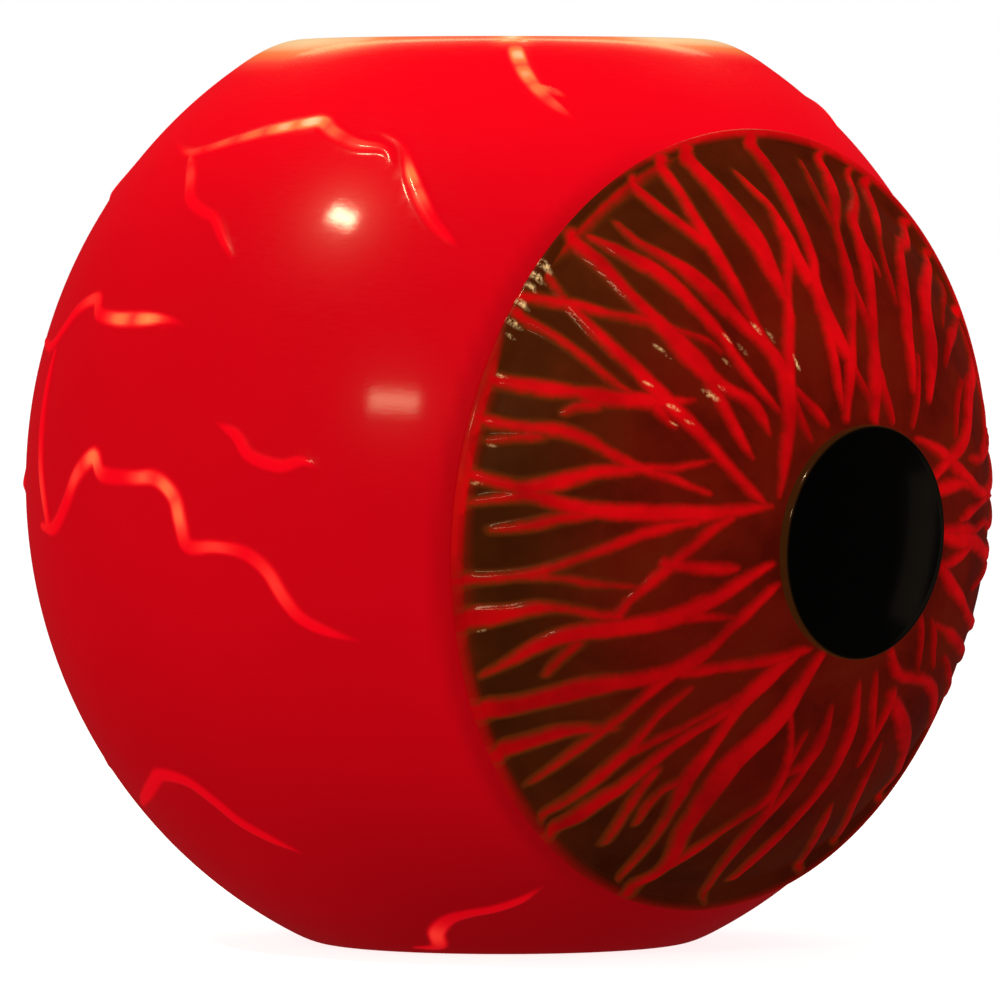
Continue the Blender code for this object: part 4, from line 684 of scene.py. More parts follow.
def board(name, lacquer, copper):
    """Circuit board: lacquer over tracks, with scattered bright pads."""
    finish = Finish(name)
    weave = finish.add("ShaderNodeTexBrick", Vector=finish.place, Scale=260.0, Mortar_Size=0.03)
    weave.inputs["Color1"].default_value = (*lacquer, 1.0)
    weave.inputs["Color2"].default_value = (*dim(lacquer, 1.3), 1.0)
    weave.inputs["Mortar"].default_value = (*copper, 1.0)
    spots = finish.add("ShaderNodeTexVoronoi", Vector=finish.place, Scale=210.0).outputs["Distance"]
    pads = finish.spread(spots, 0.10, 0.14, 1.0, 0.0)
    finish.set("Base Color", finish.mix(pads, weave.outputs["Color"], (0.72, 0.70, 0.64)))
    finish.set("Metallic", pads)
    finish.set("Roughness", finish.spread(finish.noise(80.0), 0.3, 0.7, 0.25, 0.4))
    finish.bump(pads, 0.4, 0.0001)
    return finish.material


def clouded(name, colour, emission, strength):
    """Frosted clear plastic that scatters the light behind it."""
    finish = Finish(name, Emission_Strength=strength, Subsurface_Weight=0.2)
    frost = finish.noise(600.0, 3.0)
    cloud = finish.noise(30.0, 3.0)
    finish.set("Base Color", finish.ramp(cloud, ((0.3, dim(colour, 0.9)), (0.7, colour))))
    finish.set("Emission Color", finish.ramp(cloud, ((0.3, dim(emission, 0.8)), (0.7, emission))))
    finish.set("Roughness", finish.spread(frost, 0.3, 0.7, 0.4, 0.6))
    finish.bump(frost, 0.3, 0.0001)
    return finish.material


def wall_finish(ball):
    """Translucent red wall lit from inside, with painted shade darker towards the bottom and low on the
    front, a painted shadow round the iris opening, and painted highlights over the veins and the top
    shoulder.
    """
    finish = Finish(
        "glow_red_wall",
        Emission_Strength=1.0,
        Specular_IOR_Level=0.05,
        Coat_Weight=0.2,
        Coat_Roughness=0.085,
    )
    height = finish.spread(finish.axis("Z"), 0.0, 0.378)
    glow = ball.glow
    # Inner glow with painted shade: darker towards the bottom of the ball.
    glow_and_shade_levels = (
        (0.0, 0.24), (0.05, 0.31), (0.11, 0.36), (0.20, 0.42), (0.29, 0.48), (0.40, 0.54),
        (0.58, 0.58), (0.71, 0.62), (0.78, 0.69), (0.84, 0.80), (0.90, 0.93), (0.96, 1.0), (1.0, 1.0),
    )
    through = finish.ramp(height, [(place, dim(glow, level)) for place, level in glow_and_shade_levels])
    cloud = finish.noise(7.0, 3.0, 0.55)
    through = finish.mix(
        0.16, through, finish.ramp(cloud, ((0.3, 0.55), (0.7, 1.0))), "MULTIPLY"
    )
    # Painted shade: the glow is darkened low on the front, under the eye.
    ahead = finish.spread(finish.axis("Y"), -0.15, 0.02, 1.0, 0.0, smooth=True)
    low = finish.spread(finish.axis("Z"), 0.0, 0.09, 0.7, 0.0, smooth=True)
    shade = finish.sum("MULTIPLY", ahead, low)
    through = finish.mix(shade, through, dim(glow, 0.13))
    vein = finish.attribute("vein")
    # The veins glow brighter, with painted shade darker towards the bottom.
    vein_height = finish.ramp(
        height, ((0.0, dim(glow, 0.62)), (0.35, dim(glow, 0.92)), (0.8, glow), (1.0, glow))
    )
    crest = finish.spread(vein, 0.05, 0.75, 0.0, 0.85, smooth=True)
    through = finish.mix(crest, through, vein_height)
    # Painted highlights over the vein ridges and along the top shoulder, orange to yellow-white.
    painted_highlight = finish.attribute("painted_highlight")
    heat = finish.ramp(
        painted_highlight, ((0.0, glow), (0.42, (1.0, 0.050, 0.030)), (0.78, (1.0, 0.24, 0.065)), (1.0, ball.heat))
    )
    through = finish.mix(finish.spread(painted_highlight, 0.0, 0.42), through, heat)
    # Painted shadow: the glow darkens round the iris opening on the left side.
    painted_rim_shade = finish.ramp(finish.attribute("painted_rim_shade"), ((0.0, 1.0), (0.5, 0.86), (1.0, 0.72)))
    finish.set("Emission Color", finish.mix(1.0, through, painted_rim_shade, "MULTIPLY"))
    grain = finish.noise(1700.0, 2.0, 0.7)
    sweep = finish.noise(150.0, 4.0, 0.7, (1.0, 1.0, 9.0))
    finish.set(
        "Base Color", finish.ramp(cloud, ((0.3, (0.080, 0.0003, 0.0010)), (0.7, (0.105, 0.0004, 0.0014))))
    )
    finish.set("Roughness", finish.spread(sweep, 0.3, 0.7, 0.24, 0.36))
    finish.bump(finish.sum("ADD", finish.sum("MULTIPLY", grain, 0.5), sweep), 0.13, 0.00010)
    return finish.material


def iris_finish(eye):
    """Painted iris: raised clear-red streaks between sunk brown facets, under a gloss coat, with painted
    shade darker towards the bottom and painted glints on the streaks.
    """
    finish = Finish(
        "iris_painted",
        Emission_Strength=1.0,
        Specular_IOR_Level=0.04,
        Coat_Weight=0.16,
        Coat_Roughness=0.08,
    )
    streak = finish.attribute("streak")
    wander = finish.spread(finish.noise(75.0, 5.0, 0.7), 0.25, 0.75, -0.9, 0.9)
    inside = finish.spread(finish.sum("ADD", streak, wander), -1.6, 2.3, smooth=True)
    inside = finish.sum("MAXIMUM", inside, finish.attribute("rim"))
    level = finish.attribute("level")
    height = finish.spread(finish.axis("Z"), 0.02, 0.34)
    glow = tuple(eye.streak_glow)
    # Painted shade: the streaks' glow is darker towards the bottom.
    red = finish.ramp(
        height,
        ((0.0, dim(glow, 0.40)), (0.3, dim(glow, 0.52)), (0.55, dim(glow, 0.80)), (1.0, dim(glow, 1.05))),
    )
    dark_red = dim(glow, 0.25)
    red = finish.mix(level, dark_red, red)
    veil = finish.noise(34.0, 3.0, 0.6)
    red = finish.mix(1.0, red, finish.ramp(veil, ((0.3, 0.58), (0.62, 1.0))), "MULTIPLY")
    outer = finish.attribute("outer")
    patch = finish.noise(26.0, 4.0, 0.6)
    mottled = finish.ramp(
        patch, ((0.30, dim(eye.umber, 0.55)), (0.52, tuple(eye.umber)), (0.75, (0.13, 0.0085, 0.0012)))
    )
    olive = finish.ramp(
        patch, ((0.30, dim(eye.olive, 0.7)), (0.55, tuple(eye.olive)), (0.8, (0.100, 0.0125, 0.0012)))
    )
    facet = finish.mix(outer, mottled, olive)
    # Painted shade: the facets are darker towards the bottom.
    facet = finish.mix(
        1.0, facet, finish.ramp(height, ((0.0, 0.42), (0.4, 0.75), (0.75, 1.0), (1.0, 0.9))), "MULTIPLY"
    )
    brink = finish.sum("MULTIPLY", finish.spread(streak, -2.4, -0.7, 0.0, 0.7, smooth=True), outer)
    facet = finish.mix(brink, facet, (0.100, 0.0180, 0.0016))
    surface = finish.mix(inside, facet, red)
    # Painted glints, broken up by fine noise.
    crumb = finish.spread(finish.noise(520.0, 4.0, 0.75), 0.40, 0.58, smooth=True)
    painted_glint = finish.sum("MULTIPLY", finish.spread(finish.attribute("painted_glint"), 0.12, 0.8), crumb)
    finish.set("Emission Color", finish.mix(painted_glint, surface, (0.98, 0.60, 0.25)))
    finish.set("Base Color", finish.mix(inside, (0.010, 0.002, 0.0005), (0.05, 0.0003, 0.0006)))
    grain = finish.noise(700.0, 3.0)
    finish.set("Roughness", finish.spread(patch, 0.3, 0.7, 0.28, 0.46))
    finish.bump(grain, 0.22, 0.00012)
    return finish.material


def pupil_finish():
    """Black gloss cap with faint polishing marks. Its edge carries a faint brown emission."""
    finish = Finish(
        "pupil_black_gloss_face",
        Emission_Strength=1.0,
        Specular_IOR_Level=0.1,
        Coat_Weight=0.4,
        Coat_Roughness=0.12,
    )
    edge = finish.attribute("edge")
    finish.set(
        "Emission Color",
        finish.ramp(edge, ((0.0, 0.0), (0.6, (0.004, 0.0014, 0.0003)), (1.0, (0.036, 0.010, 0.0016)))),
    )
    smear = finish.noise(14.0, 4.0, 0.6)
    blacks = ((0.3, (0.0012, 0.0006, 0.0004)), (0.8, (0.003, 0.0020, 0.0010)))
    finish.set("Base Color", finish.ramp(smear, blacks))
    finish.set("Roughness", finish.spread(smear, 0.3, 0.7, 0.10, 0.22))
    finish.bump(finish.noise(500.0, 2.0), 0.06, 0.0001)
    return finish.material


# ---- Shapes --------------------------------------------------------------------------------
def revolved(profile, steps):
    """Points and quads of a profile of (radius, height) turned round the Z axis."""
    profile = np.array(profile, dtype=float)
    angles = np.arange(steps) * (2 * math.pi / steps)
    radius, height = profile[:, :1], profile[:, 1:]
    x = radius * np.cos(angles)
    y = radius * np.sin(angles)
    z = np.broadcast_to(height, x.shape)
    points = np.stack([x, y, z], -1).reshape(-1, 3)
    rows, count = len(profile), len(angles)
    ring = np.arange(count)
    after = (ring + 1) % count
    faces = []
    for row in range(rows - 1):
        low, high = row * count, (row + 1) * count
        faces.append(np.stack([low + ring, high + ring, high + after, low + after], -1))
    return points, np.concatenate(faces)


def turned_mesh(name, profile, steps):
    """A mesh of the profile turned round the Z axis."""
    points, faces = revolved(profile, steps)
    mesh = bpy.data.meshes.new(name)
    mesh.from_pydata(points.tolist(), [], faces.tolist())
    return mesh


def opened(mesh):
    """The mesh opened for editing, with doubled points joined and its faces turned outwards."""
    shape = bmesh.new()
    shape.from_mesh(mesh)
    bmesh.ops.remove_doubles(shape, verts=shape.verts, dist=JOIN_DISTANCE)
    bmesh.ops.recalc_face_normals(shape, faces=shape.faces)
    return shape


def write_back(shape, mesh):
    shape.to_mesh(mesh)
    shape.free()


def placed(mesh, material):
    """A smooth piece on the lamp's body, named like its mesh."""
    mesh.materials.append(material)
    mesh.polygons.foreach_set("use_smooth", [True] * len(mesh.polygons))
    piece = bpy.data.objects.new(mesh.name, mesh)
    bpy.context.scene.collection.objects.link(piece)
    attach(piece, "lamp")
    return piece


def finished(mesh, material):
    write_back(opened(mesh), mesh)
    return placed(mesh, material)


def vertex_places(mesh):
    places = np.empty(len(mesh.vertices) * 3)
    mesh.vertices.foreach_get("co", places)
    return places.reshape(-1, 3)


def set_places(mesh, places):
    mesh.vertices.foreach_set("co", places.reshape(-1))
    mesh.update()


def store(mesh, name, values):
    attribute = mesh.attributes.new(name, "FLOAT", "POINT")
    attribute.data.foreach_set("value", np.asarray(values, dtype=np.float32))


def soft_step(values, low, high):
    part = np.clip((values - low) / (high - low), 0.0, 1.0)
    return part * part * (3.0 - 2.0 * part)


def rounded_route(points, parts):
    """A smooth curve through the points, with this many parts between each two."""
    points = np.array(points, dtype=float)
    ends = np.vstack([2 * points[0] - points[1], points, 2 * points[-1] - points[-2]])
    curve = []
    for row in range(1, len(ends) - 2):
        a, b, c, d = ends[row - 1 : row + 3]
        for part in range(parts):
            t = part / parts
            curve.append(
                0.5 * (2 * b + (c - a) * t + (2 * a - 5 * b + 4 * c - d) * t * t
                       + (3 * b - a - 3 * c + d) * t**3)
            )
    curve.append(points[-1])
    return np.array(curve)


def nearest(places, route, widths, reach):
    """For each place near the route: its distance to it, and the width there."""
    low = route.min(0) - reach
    high = route.max(0) + reach
    near = np.flatnonzero(np.all((places > low) & (places < high), axis=1))
    best = np.full(len(near), 1e9)
    width = np.full(len(near), widths[0])
    part = places[near]
    best_score = np.full(len(near), 1e9)
    for start, end, first, last in zip(route[:-1], route[1:], widths[:-1], widths[1:]):
        along = end - start
        share = np.clip((part - start) @ along / max(along @ along, 1e-12), 0.0, 1.0)
        apart = np.linalg.norm(part - start - share[:, None] * along, axis=1)
        here = first + (last - first) * share
        score = apart - here
        closer = score < best_score
        best[closer] = apart[closer]
        width[closer] = here[closer]
        best_score[closer] = score[closer]
    return near, best, width


def shoulder(radius, flat, half_width, half_height, drop, corner, count=9):
    """Rounded corner between a flat and the ball's side, from the flat outwards (height from centre)."""
    low = flat - drop
    side = half_width * math.sqrt(1.0 - (low / half_height) ** 2)
    start = np.array([radius - corner, flat])
    middle = np.array([radius + corner * 0.35, flat])
    end = np.array([side, low])
    t = np.linspace(0.0, 1.0, count)[:, None]
    return (1 - t) ** 2 * start + 2 * t * (1 - t) * middle + t**2 * end


def ball_outline(ball):
    """The ball's outline from the top flat to the standing ring, as (radius, height) points."""
    a, b = ball.half_width, ball.half_height
    centre = centre_height(ball)
    rise = b * math.sqrt(1.0 - (ball.top_flat / a) ** 2)
    top = shoulder(ball.top_flat, rise, a, b, ball.shoulder_drop, ball.shoulder_corner)
    base = shoulder(ball.base_flat, centre, a, b, 0.5 * ball.shoulder_drop, 0.4 * ball.shoulder_corner)
    base = base[::-1] * (1, -1)
    first = math.asin(top[-1][1] / b)
    last = math.asin(base[0][1] / b)
    side = [(a * math.cos(t), b * math.sin(t)) for t in np.linspace(first, last, 100)[1:-1]]
    outline = np.vstack([top, side, base])
    outline[:, 1] += centre
    return outline


def centre_height(ball):
    return ball.half_height * math.sqrt(1.0 - (ball.base_flat / ball.half_width) ** 2)


def eye_frame(context):
    """The matrix that takes the eye's own frame, its axis along Z, to the lamp's."""
    ball, eye = settings(context).ball, settings(context).eye
    across, up = ball.half_width**-2, ball.half_height**-2
    sine, cosine = math.sin(eye.tilt), math.cos(eye.tilt)
    shift = -eye.seat * sine * cosine * (across - up) / (across * sine**2 + up * cosine**2)
    turn = Matrix.Rotation(math.pi / 2 + eye.tilt, 4, "X")
    stretch = Matrix.Diagonal((1, ball.half_height / ball.half_width, 1, 1))
    return (
        Matrix.Translation((0, 0, centre_height(ball)))
        @ turn
        @ Matrix.Translation((0, shift, 0))
        @ stretch
    )


def on_eye(mesh, context):
    mesh.transform(eye_frame(context))


def vein_fields(places, ball):
    """How far each place stands on a vein, from 0 to 1, and how bright the painted highlight is there."""
    outline = ball_outline(ball)
    order = np.argsort(outline[:, 1])
    heights, radii = outline[order, 1], outline[order, 0]

    def on_ball(turn, height):
        height = np.clip(np.asarray(height) * MM, heights[0], heights[-1])
        radius = np.interp(height, heights, radii)
        turn = np.radians(turn)
        return np.stack([radius * np.sin(turn), -radius * np.cos(turn), height], -1)

    routes = [np.array(route, dtype=float) for route in SIDE_VEINS + BACK_VEINS]
    for route in SIDE_VEINS[:9]:
        other = np.array(route, dtype=float)
        other[:, 0] = -other[:, 0] * 0.94 + 4.0
        other[:, 1] = 372.0 - other[:, 1]
        routes.append(other)
    for route in BACK_VEINS:
        other = np.array(route, dtype=float)
        other[:, 0] = 304.0 + other[:, 0]
        other[:, 1] = 380.0 - other[:, 1]
        routes.append(other)
    vein = np.zeros(len(places))
    for route in routes:
        curve = rounded_route(route, 5)
        spine = on_ball(curve[:, 0], curve[:, 1])
        near, apart, width = nearest(places, spine, curve[:, 2] * MM * 1.35, 0.012)
        part = np.clip(apart / np.maximum(width, 1e-5), 0.0, 1.0)
        slim = soft_step(width, 0.0010, 0.0052)
        bump = (0.5 + 0.5 * np.cos(math.pi * part)) ** 1.1 * (0.08 + 0.92 * slim)
        vein[near] = np.maximum(vein[near], bump)
    # Painted highlights on the vein ridges.
    painted_highlight = np.zeros(len(places))
    for turn, height, reach, heat in PAINTED_HIGHLIGHTS:
        apart = np.linalg.norm(places - on_ball(turn, height), axis=1) / (reach * MM)
        painted_highlight = np.maximum(painted_highlight, heat * np.exp(-0.8 * apart**2))
    painted_highlight *= soft_step(vein, 0.2, 0.85)
    radius = np.linalg.norm(places[:, :2], axis=1)
    turn = np.arctan2(places[:, 0], -places[:, 1])
    # Painted highlight along the top shoulder's edge.
    around, heat, reach = np.array(TOP_EDGE_HIGHLIGHT, dtype=float).T
    turn = np.degrees(turn)
    below = (heights[-1] - places[:, 2]) / (np.interp(turn, around, reach) * MM)
    top_highlight = np.interp(turn, around, heat) * (1.0 - soft_step(below, 0.05, 1.25))
    top_highlight *= soft_step(radius, 0.079, 0.086)
    return vein, np.maximum(painted_highlight, top_highlight)


# ---- Pieces --------------------------------------------------------------------------------
def make_ball(context):
    ball, eye = settings(context).ball, settings(context).eye
    outline = ball_outline(ball)
    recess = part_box("housing_seal")[1]
    hole = frame_radius("base_housing") + HOUSING_PLAY
    ceiling = recess[2] + SEAL_PLAY
    flat = [(outline[0][0] * share, outline[0][1]) for share in (0.0, 0.25, 0.5, 0.75, 0.92)]
    under = [(hole + HOLE_BEVEL, 0.0), (hole, HOLE_BEVEL), (hole, ceiling), (LEDGE_HOLE, ceiling)]
    wall = ball.wall
    inside = [(LEDGE_HOLE, ceiling + wall), (LEDGE_EDGE, ceiling + wall), (LEDGE_FOOT, ceiling)]
    a, b, centre = ball.half_width - wall, ball.half_height - wall, centre_height(ball)
    start = math.asin((WALL_FOOT - centre) / b)
    finish = math.asin((outline[0][1] - wall - centre) / b)
    inside += [(a * math.cos(t), centre + b * math.sin(t)) for t in np.linspace(start, finish, WALL_ROWS)]
    inside += [(0.03, outline[0][1] - wall), (0.0, outline[0][1] - wall)]
    profile = np.vstack([flat, outline, under, inside])
    mesh = turned_mesh("glowing_ball", profile, ball.steps)
    shape = opened(mesh)
    turn = eye_frame(context)
    seat = turn @ Vector((0, 0, eye.seat))
    axis = (turn @ Vector((0, 0, 1)) - turn @ Vector((0, 0, 0))).normalized()
    everything = shape.verts[:] + shape.edges[:] + shape.faces[:]
    cut = bmesh.ops.bisect_plane(
        shape, geom=everything, dist=JOIN_DISTANCE, plane_co=seat, plane_no=axis, clear_outer=True
    )
    open_edges = [edge for edge in cut["geom_cut"] if isinstance(edge, bmesh.types.BMEdge)]
    bmesh.ops.bridge_loops(shape, edges=open_edges)
    for _ in range(VEIN_REFINEMENTS):
        centres = np.array([face.calc_center_median()[:] for face in shape.faces])
        outer = np.linalg.norm((centres - (0, 0, centre)) / (a, a, b), axis=1) > 1.002
        near = (vein_fields(centres, ball)[0] > 0.0) & outer
        edges = set()
        for face, wanted in zip(shape.faces, near):
            if wanted:
                edges.update(face.edges)
        bmesh.ops.subdivide_edges(shape, edges=list(edges), cuts=1, use_grid_fill=True)
    bmesh.ops.recalc_face_normals(shape, faces=shape.faces)
    write_back(shape, mesh)
    places = vertex_places(mesh)
    offset = places - (0, 0, centre)
    scaled = offset / (ball.half_width, ball.half_width, ball.half_height)
    size = np.linalg.norm(scaled, axis=1)
    side = (np.abs(size - 1.0) < 0.0015) & (places[:, 2] < outline[8][1]) & (places[:, 2] > 0.0125)
    places[side] = (0, 0, centre) + offset[side] / size[side][:, None]
    vein, painted_highlight = vein_fields(places, ball)
    along = places @ np.array(axis[:]) - seat.dot(axis)
    outside = soft_step(-along, 0.003, 0.012) * (size > 0.985)
    vein *= outside
    normal = scaled / (ball.half_width, ball.half_width, ball.half_height)
    normal /= np.linalg.norm(normal, axis=1)[:, None]
    low = soft_step(places[:, 2], 0.001, 0.006)
    high = soft_step(outline[0][1] - places[:, 2], 0.0, 0.004)
    places += normal * (vein * ball.vein_height * low * (0.25 + 0.75 * high))[:, None]
    set_places(mesh, places)
    store(mesh, "vein", vein)
    store(mesh, "painted_highlight", painted_highlight)
    # Painted shadow: the wall's glow darkens round the iris opening, on the left side.
    painted_rim_shade = 1.0 - soft_step(-along, 0.0015, 0.0075)
    store(mesh, "painted_rim_shade", painted_rim_shade * soft_step(-places[:, 0], 0.02, 0.11))
    piece = placed(mesh, wall_finish(ball))
    keep_edges_crisp(piece)
    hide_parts("eyeball_shell")


def keep_edges_crisp(piece, degrees=40.0):
    """Marks sharp the edges that turn more than this."""
    shape = bmesh.new()
    shape.from_mesh(piece.data)
    limit = math.radians(degrees)
    for edge in shape.edges:
        edge.smooth = not (edge.is_manifold and edge.calc_face_angle(0.0) > limit)
    write_back(shape, piece.data)


def frame_radius(node):
    low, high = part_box(node)
    return (high[0] - low[0]) / 2


def iris_profile(eye):
    """The iris dome, its beaded rim and its hollow underside, as (radius, height) points."""
    inner = np.linspace(IRIS_INNER, eye.edge, IRIS_ROWS)
    dome = [(r, eye.dome_centre + math.sqrt(eye.dome_radius**2 - r * r)) for r in inner]
    rim_top = dome[-1][1]
    bottom = rim_top - RIM_DEPTH
    bead = [
        (eye.edge + 0.0006, rim_top - 0.0003),
        (eye.edge + 0.0016, rim_top + 0.0002),
        (eye.edge + 0.0028, rim_top + 0.0003),
        (eye.edge + 0.0040, rim_top + 0.0001),
        (eye.rim - 0.0007, rim_top - 0.0007),
        (eye.rim - 0.0002, rim_top - 0.0014),
        (eye.rim, rim_top - 0.0021),
        (eye.rim - 0.0004, bottom + 0.0005),
        (eye.rim - 0.0012, bottom),
        (0.1445, bottom),
        (0.1425, bottom + 0.0010),
    ]
    under = [
        (r, eye.dome_centre + math.sqrt((eye.dome_radius - IRIS_WALL) ** 2 - r * r))
        for r in np.linspace(0.140, IRIS_INNER, 24)
    ]
    return np.vstack([dome, bead, under, [dome[0]]])


def streak_field(flat):
    """How far inside a streak each place lies, in mm, and how bright the light is there."""
    field = np.full(len(flat), -FAR_OFF)
    level = np.zeros(len(flat))
    rng = np.random.default_rng(11)
    for brightness, route in STREAKS:
        curve = rounded_route(route, 4)
        angle = np.radians(curve[:, 0])
        spine = np.stack([curve[:, 1] * np.cos(angle), curve[:, 1] * np.sin(angle)], -1) * MM
        near, apart, width = nearest(flat, spine, np.maximum(curve[:, 2], 0.2) * MM, 0.012)
        depth = (width - apart) / MM
        closer = depth > field[near]
        rows = near[closer]
        field[rows] = depth[closer]
        level[rows] = brightness * rng.uniform(0.9, 1.0)
    return field, level


def painted_glint_field(angle, radius):
    """How bright the painted glints are at each place."""
    painted_glint = np.zeros(len(radius))
    for turn_place, out, reach, bright in PAINTED_GLINTS:
        across = (np.degrees(angle) - turn_place + 180.0) % 360.0 - 180.0
        across = np.radians(across) * radius / (0.34 * reach * MM)
        along = (radius - out * MM) / (reach * MM)
        painted_glint = np.maximum(painted_glint, bright * np.exp(-(across**2) - along**2))
    return painted_glint


def make_iris(context):
    eye = settings(context).eye
    mesh = turned_mesh("iris_streaked", iris_profile(eye), IRIS_STEPS)
    write_back(opened(mesh), mesh)
    places = vertex_places(mesh)
    radius = np.linalg.norm(places[:, :2], axis=1)
    field, level = streak_field(places[:, :2])
    turn = np.degrees(np.arctan2(places[:, 1], places[:, 0])) % 360.0
    around, starts, ends = np.array(RIM_GLOW, dtype=float).T
    start, end = np.interp(turn, around, starts) * MM, np.interp(turn, around, ends) * MM
    rim = 0.92 * soft_step(radius, start, end)
    # Painted shade: the rim's glow dims at its outer edge on the left.
    painted_groove_shade = np.exp(-(((turn - 162.0) / 16.0) ** 2)) * soft_step(radius, 0.1512, 0.1534)
    store(mesh, "rim", rim * (1.0 - 0.3 * painted_groove_shade))
    level[(level == 0) & (radius > 0.144)] = 0.9
    upper = np.exp(-(((turn - 122.0) / 16.0) ** 2))
    line = 1.1 - np.abs(radius - 0.1486) / MM - 3.0 * (1.0 - soft_step(upper, 0.25, 0.7))
    closer = line > field
    field[closer] = line[closer]
    level[closer] = 0.62
    facing = places[:, 2] > eye.dome_centre + np.sqrt(
        np.maximum((eye.dome_radius - 0.002) ** 2 - radius**2, 0.0)
    )
    on_dome = facing & (radius < eye.edge + 1e-5)
    raised = soft_step(field, -1.2, 1.6)
    rise = -eye.facet_depth * (1.0 - raised) + STREAK_LIFT * raised
    fade = soft_step(radius, 0.0452, 0.0475) * soft_step(eye.edge - radius, 0.0, 0.0012)
    normal = places - (0, 0, eye.dome_centre)
    normal /= np.linalg.norm(normal, axis=1)[:, None]
    places[on_dome] += normal[on_dome] * (rise * fade)[on_dome][:, None]
    set_places(mesh, places)
    angle = np.arctan2(places[:, 1], places[:, 0])
    side = 0.5 - 0.5 * np.cos(angle)
    outer = soft_step(radius, 0.095, 0.142) * (0.25 + 0.75 * side)
    store(mesh, "painted_glint", painted_glint_field(angle, radius))
    store(mesh, "streak", np.clip(field, -FAR_OFF, FAR_OFF))
    store(mesh, "level", level)
    store(mesh, "outer", outer)
    on_eye(mesh, context)
    piece = placed(mesh, iris_finish(eye))
    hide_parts("iris_dome")


def make_pupil(context):
    eye = settings(context).eye
    top = eye.dome_radius + PUPIL_LIFT
    rise = [(r, eye.dome_centre + math.sqrt(top**2 - r * r)) for r in np.linspace(0.0, 0.0432, 26)]
    crown = rise[-1][1]
    edge = eye.dome_centre + math.sqrt(eye.dome_radius**2 - eye.pupil**2)
    corner = [
        (eye.pupil - PUPIL_CORNER + PUPIL_CORNER * math.sin(t), crown - 0.0016 + 0.0016 * math.cos(t))
        for t in np.linspace(0.25, math.pi / 2, 8)
    ]
    skirt = [
        (eye.pupil, edge + 0.0006), (eye.pupil - 0.0003, edge - 0.0002),
        (0.043, edge - 0.0002), (0.0, edge + 0.002),
    ]
    mesh = turned_mesh("pupil_gloss_cap", np.vstack([rise, corner, skirt]), PUPIL_STEPS)
    radius = np.linalg.norm(vertex_places(mesh)[:, :2], axis=1)
    store(mesh, "edge", soft_step(radius, eye.pupil - 0.0014, eye.pupil - 0.0001))
    on_eye(mesh, context)
    piece = finished(mesh, pupil_finish())
    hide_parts("pupil_cap")


def make_seal(context):
    eye = settings(context).eye
    low = eye.seat + 0.0003
    high = low + SEAL_THICKNESS
    outer, inner = SEAL_OUTER, SEAL_INNER
    profile = [
        (inner, high), (outer - 0.0005, high), (outer - 0.0001, high - SEAL_BEVEL),
        (outer - 0.0001, low + SEAL_BEVEL), (outer - 0.0005, low), (inner, low), (inner, high),
    ]
    mesh = turned_mesh("iris_seal_ring", profile, SEAL_STEPS)
    on_eye(mesh, context)
    piece = finished(mesh, rubbery("iris_seal_rubber", (0.05, 0.004, 0.003)))
    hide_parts("iris_gasket")


def finish_nodes(names, material):
    for name in names:
        node = bpy.data.objects[name]
        for slot in node.material_slots:
            slot.material = material


def numbered(stem, count):
    return [f"{stem}_{number}" for number in range(1, count + 1)]


def finish_base(context):
    finish_nodes(["base_housing"], moulded("housing_white", (0.72, 0.70, 0.66)))
    finish_nodes(["base_cover"], moulded("cover_white", (0.68, 0.66, 0.62), 1100.0, 0.5))
    finish_nodes(["power_button"], moulded("button_grey", (0.32, 0.32, 0.33), 1500.0, 0.42))
    finish_nodes(["base_foot", "port_cover"], rubbery("foot_rubber"))
    finish_nodes(["housing_seal"], rubbery("seal_rubber", (0.03, 0.028, 0.026)))
    steel = plated("screw_steel")
    screws = numbered("flange_screw", 6) + numbered("cover_screw", 4) + ["port_pivot_screw"]
    finish_nodes(screws, steel)
    finish_nodes(["indicator_lens"], clouded("indicator_clear", (0.8, 0.8, 0.8), (0.1, 0.9, 0.2), 0.35))


def finish_inside(context):
    steel = plated("inner_steel", (0.66, 0.65, 0.63))
    screws = numbered("board_screw", 3) + numbered("cradle_screw", 2) + numbered("diffuser_screw", 3)
    finish_nodes(screws + ["button_spring", "pupil_washer", "pupil_nut"], steel)
    black = moulded("black_plastic_parts", (0.02, 0.02, 0.021), 1200.0, 0.4)
    finish_nodes(["button_switch", "charging_socket", "control_chip", "charging_chip"], black)
    finish_nodes(["battery_cradle"], moulded("cradle_black", (0.03, 0.03, 0.032), 800.0, 0.5))
    finish_nodes(numbered("battery_cell", 3), moulded("cell_sleeve", (0.02, 0.10, 0.42), 500.0, 0.28))
    finish_nodes(["control_board"], board("control_board_lacquer", (0.01, 0.12, 0.03), (0.03, 0.2, 0.05)))
    finish_nodes(["led_board"], board("led_board_lacquer", (0.75, 0.75, 0.72), (0.6, 0.6, 0.56)))
    lit = clouded("led_body", (0.9, 0.8, 0.5), (1.0, 0.1, 0.05), 2.0)
    finish_nodes(numbered("led", 8) + ["indicator_led"], lit)
    finish_nodes(["light_diffuser"], clouded("diffuser_frosted", (0.9, 0.88, 0.86), (1.0, 0.25, 0.15), 0.6))
    finish_nodes(["led_lead", "battery_lead"], moulded("lead_red", (0.45, 0.01, 0.01), 700.0, 0.4))


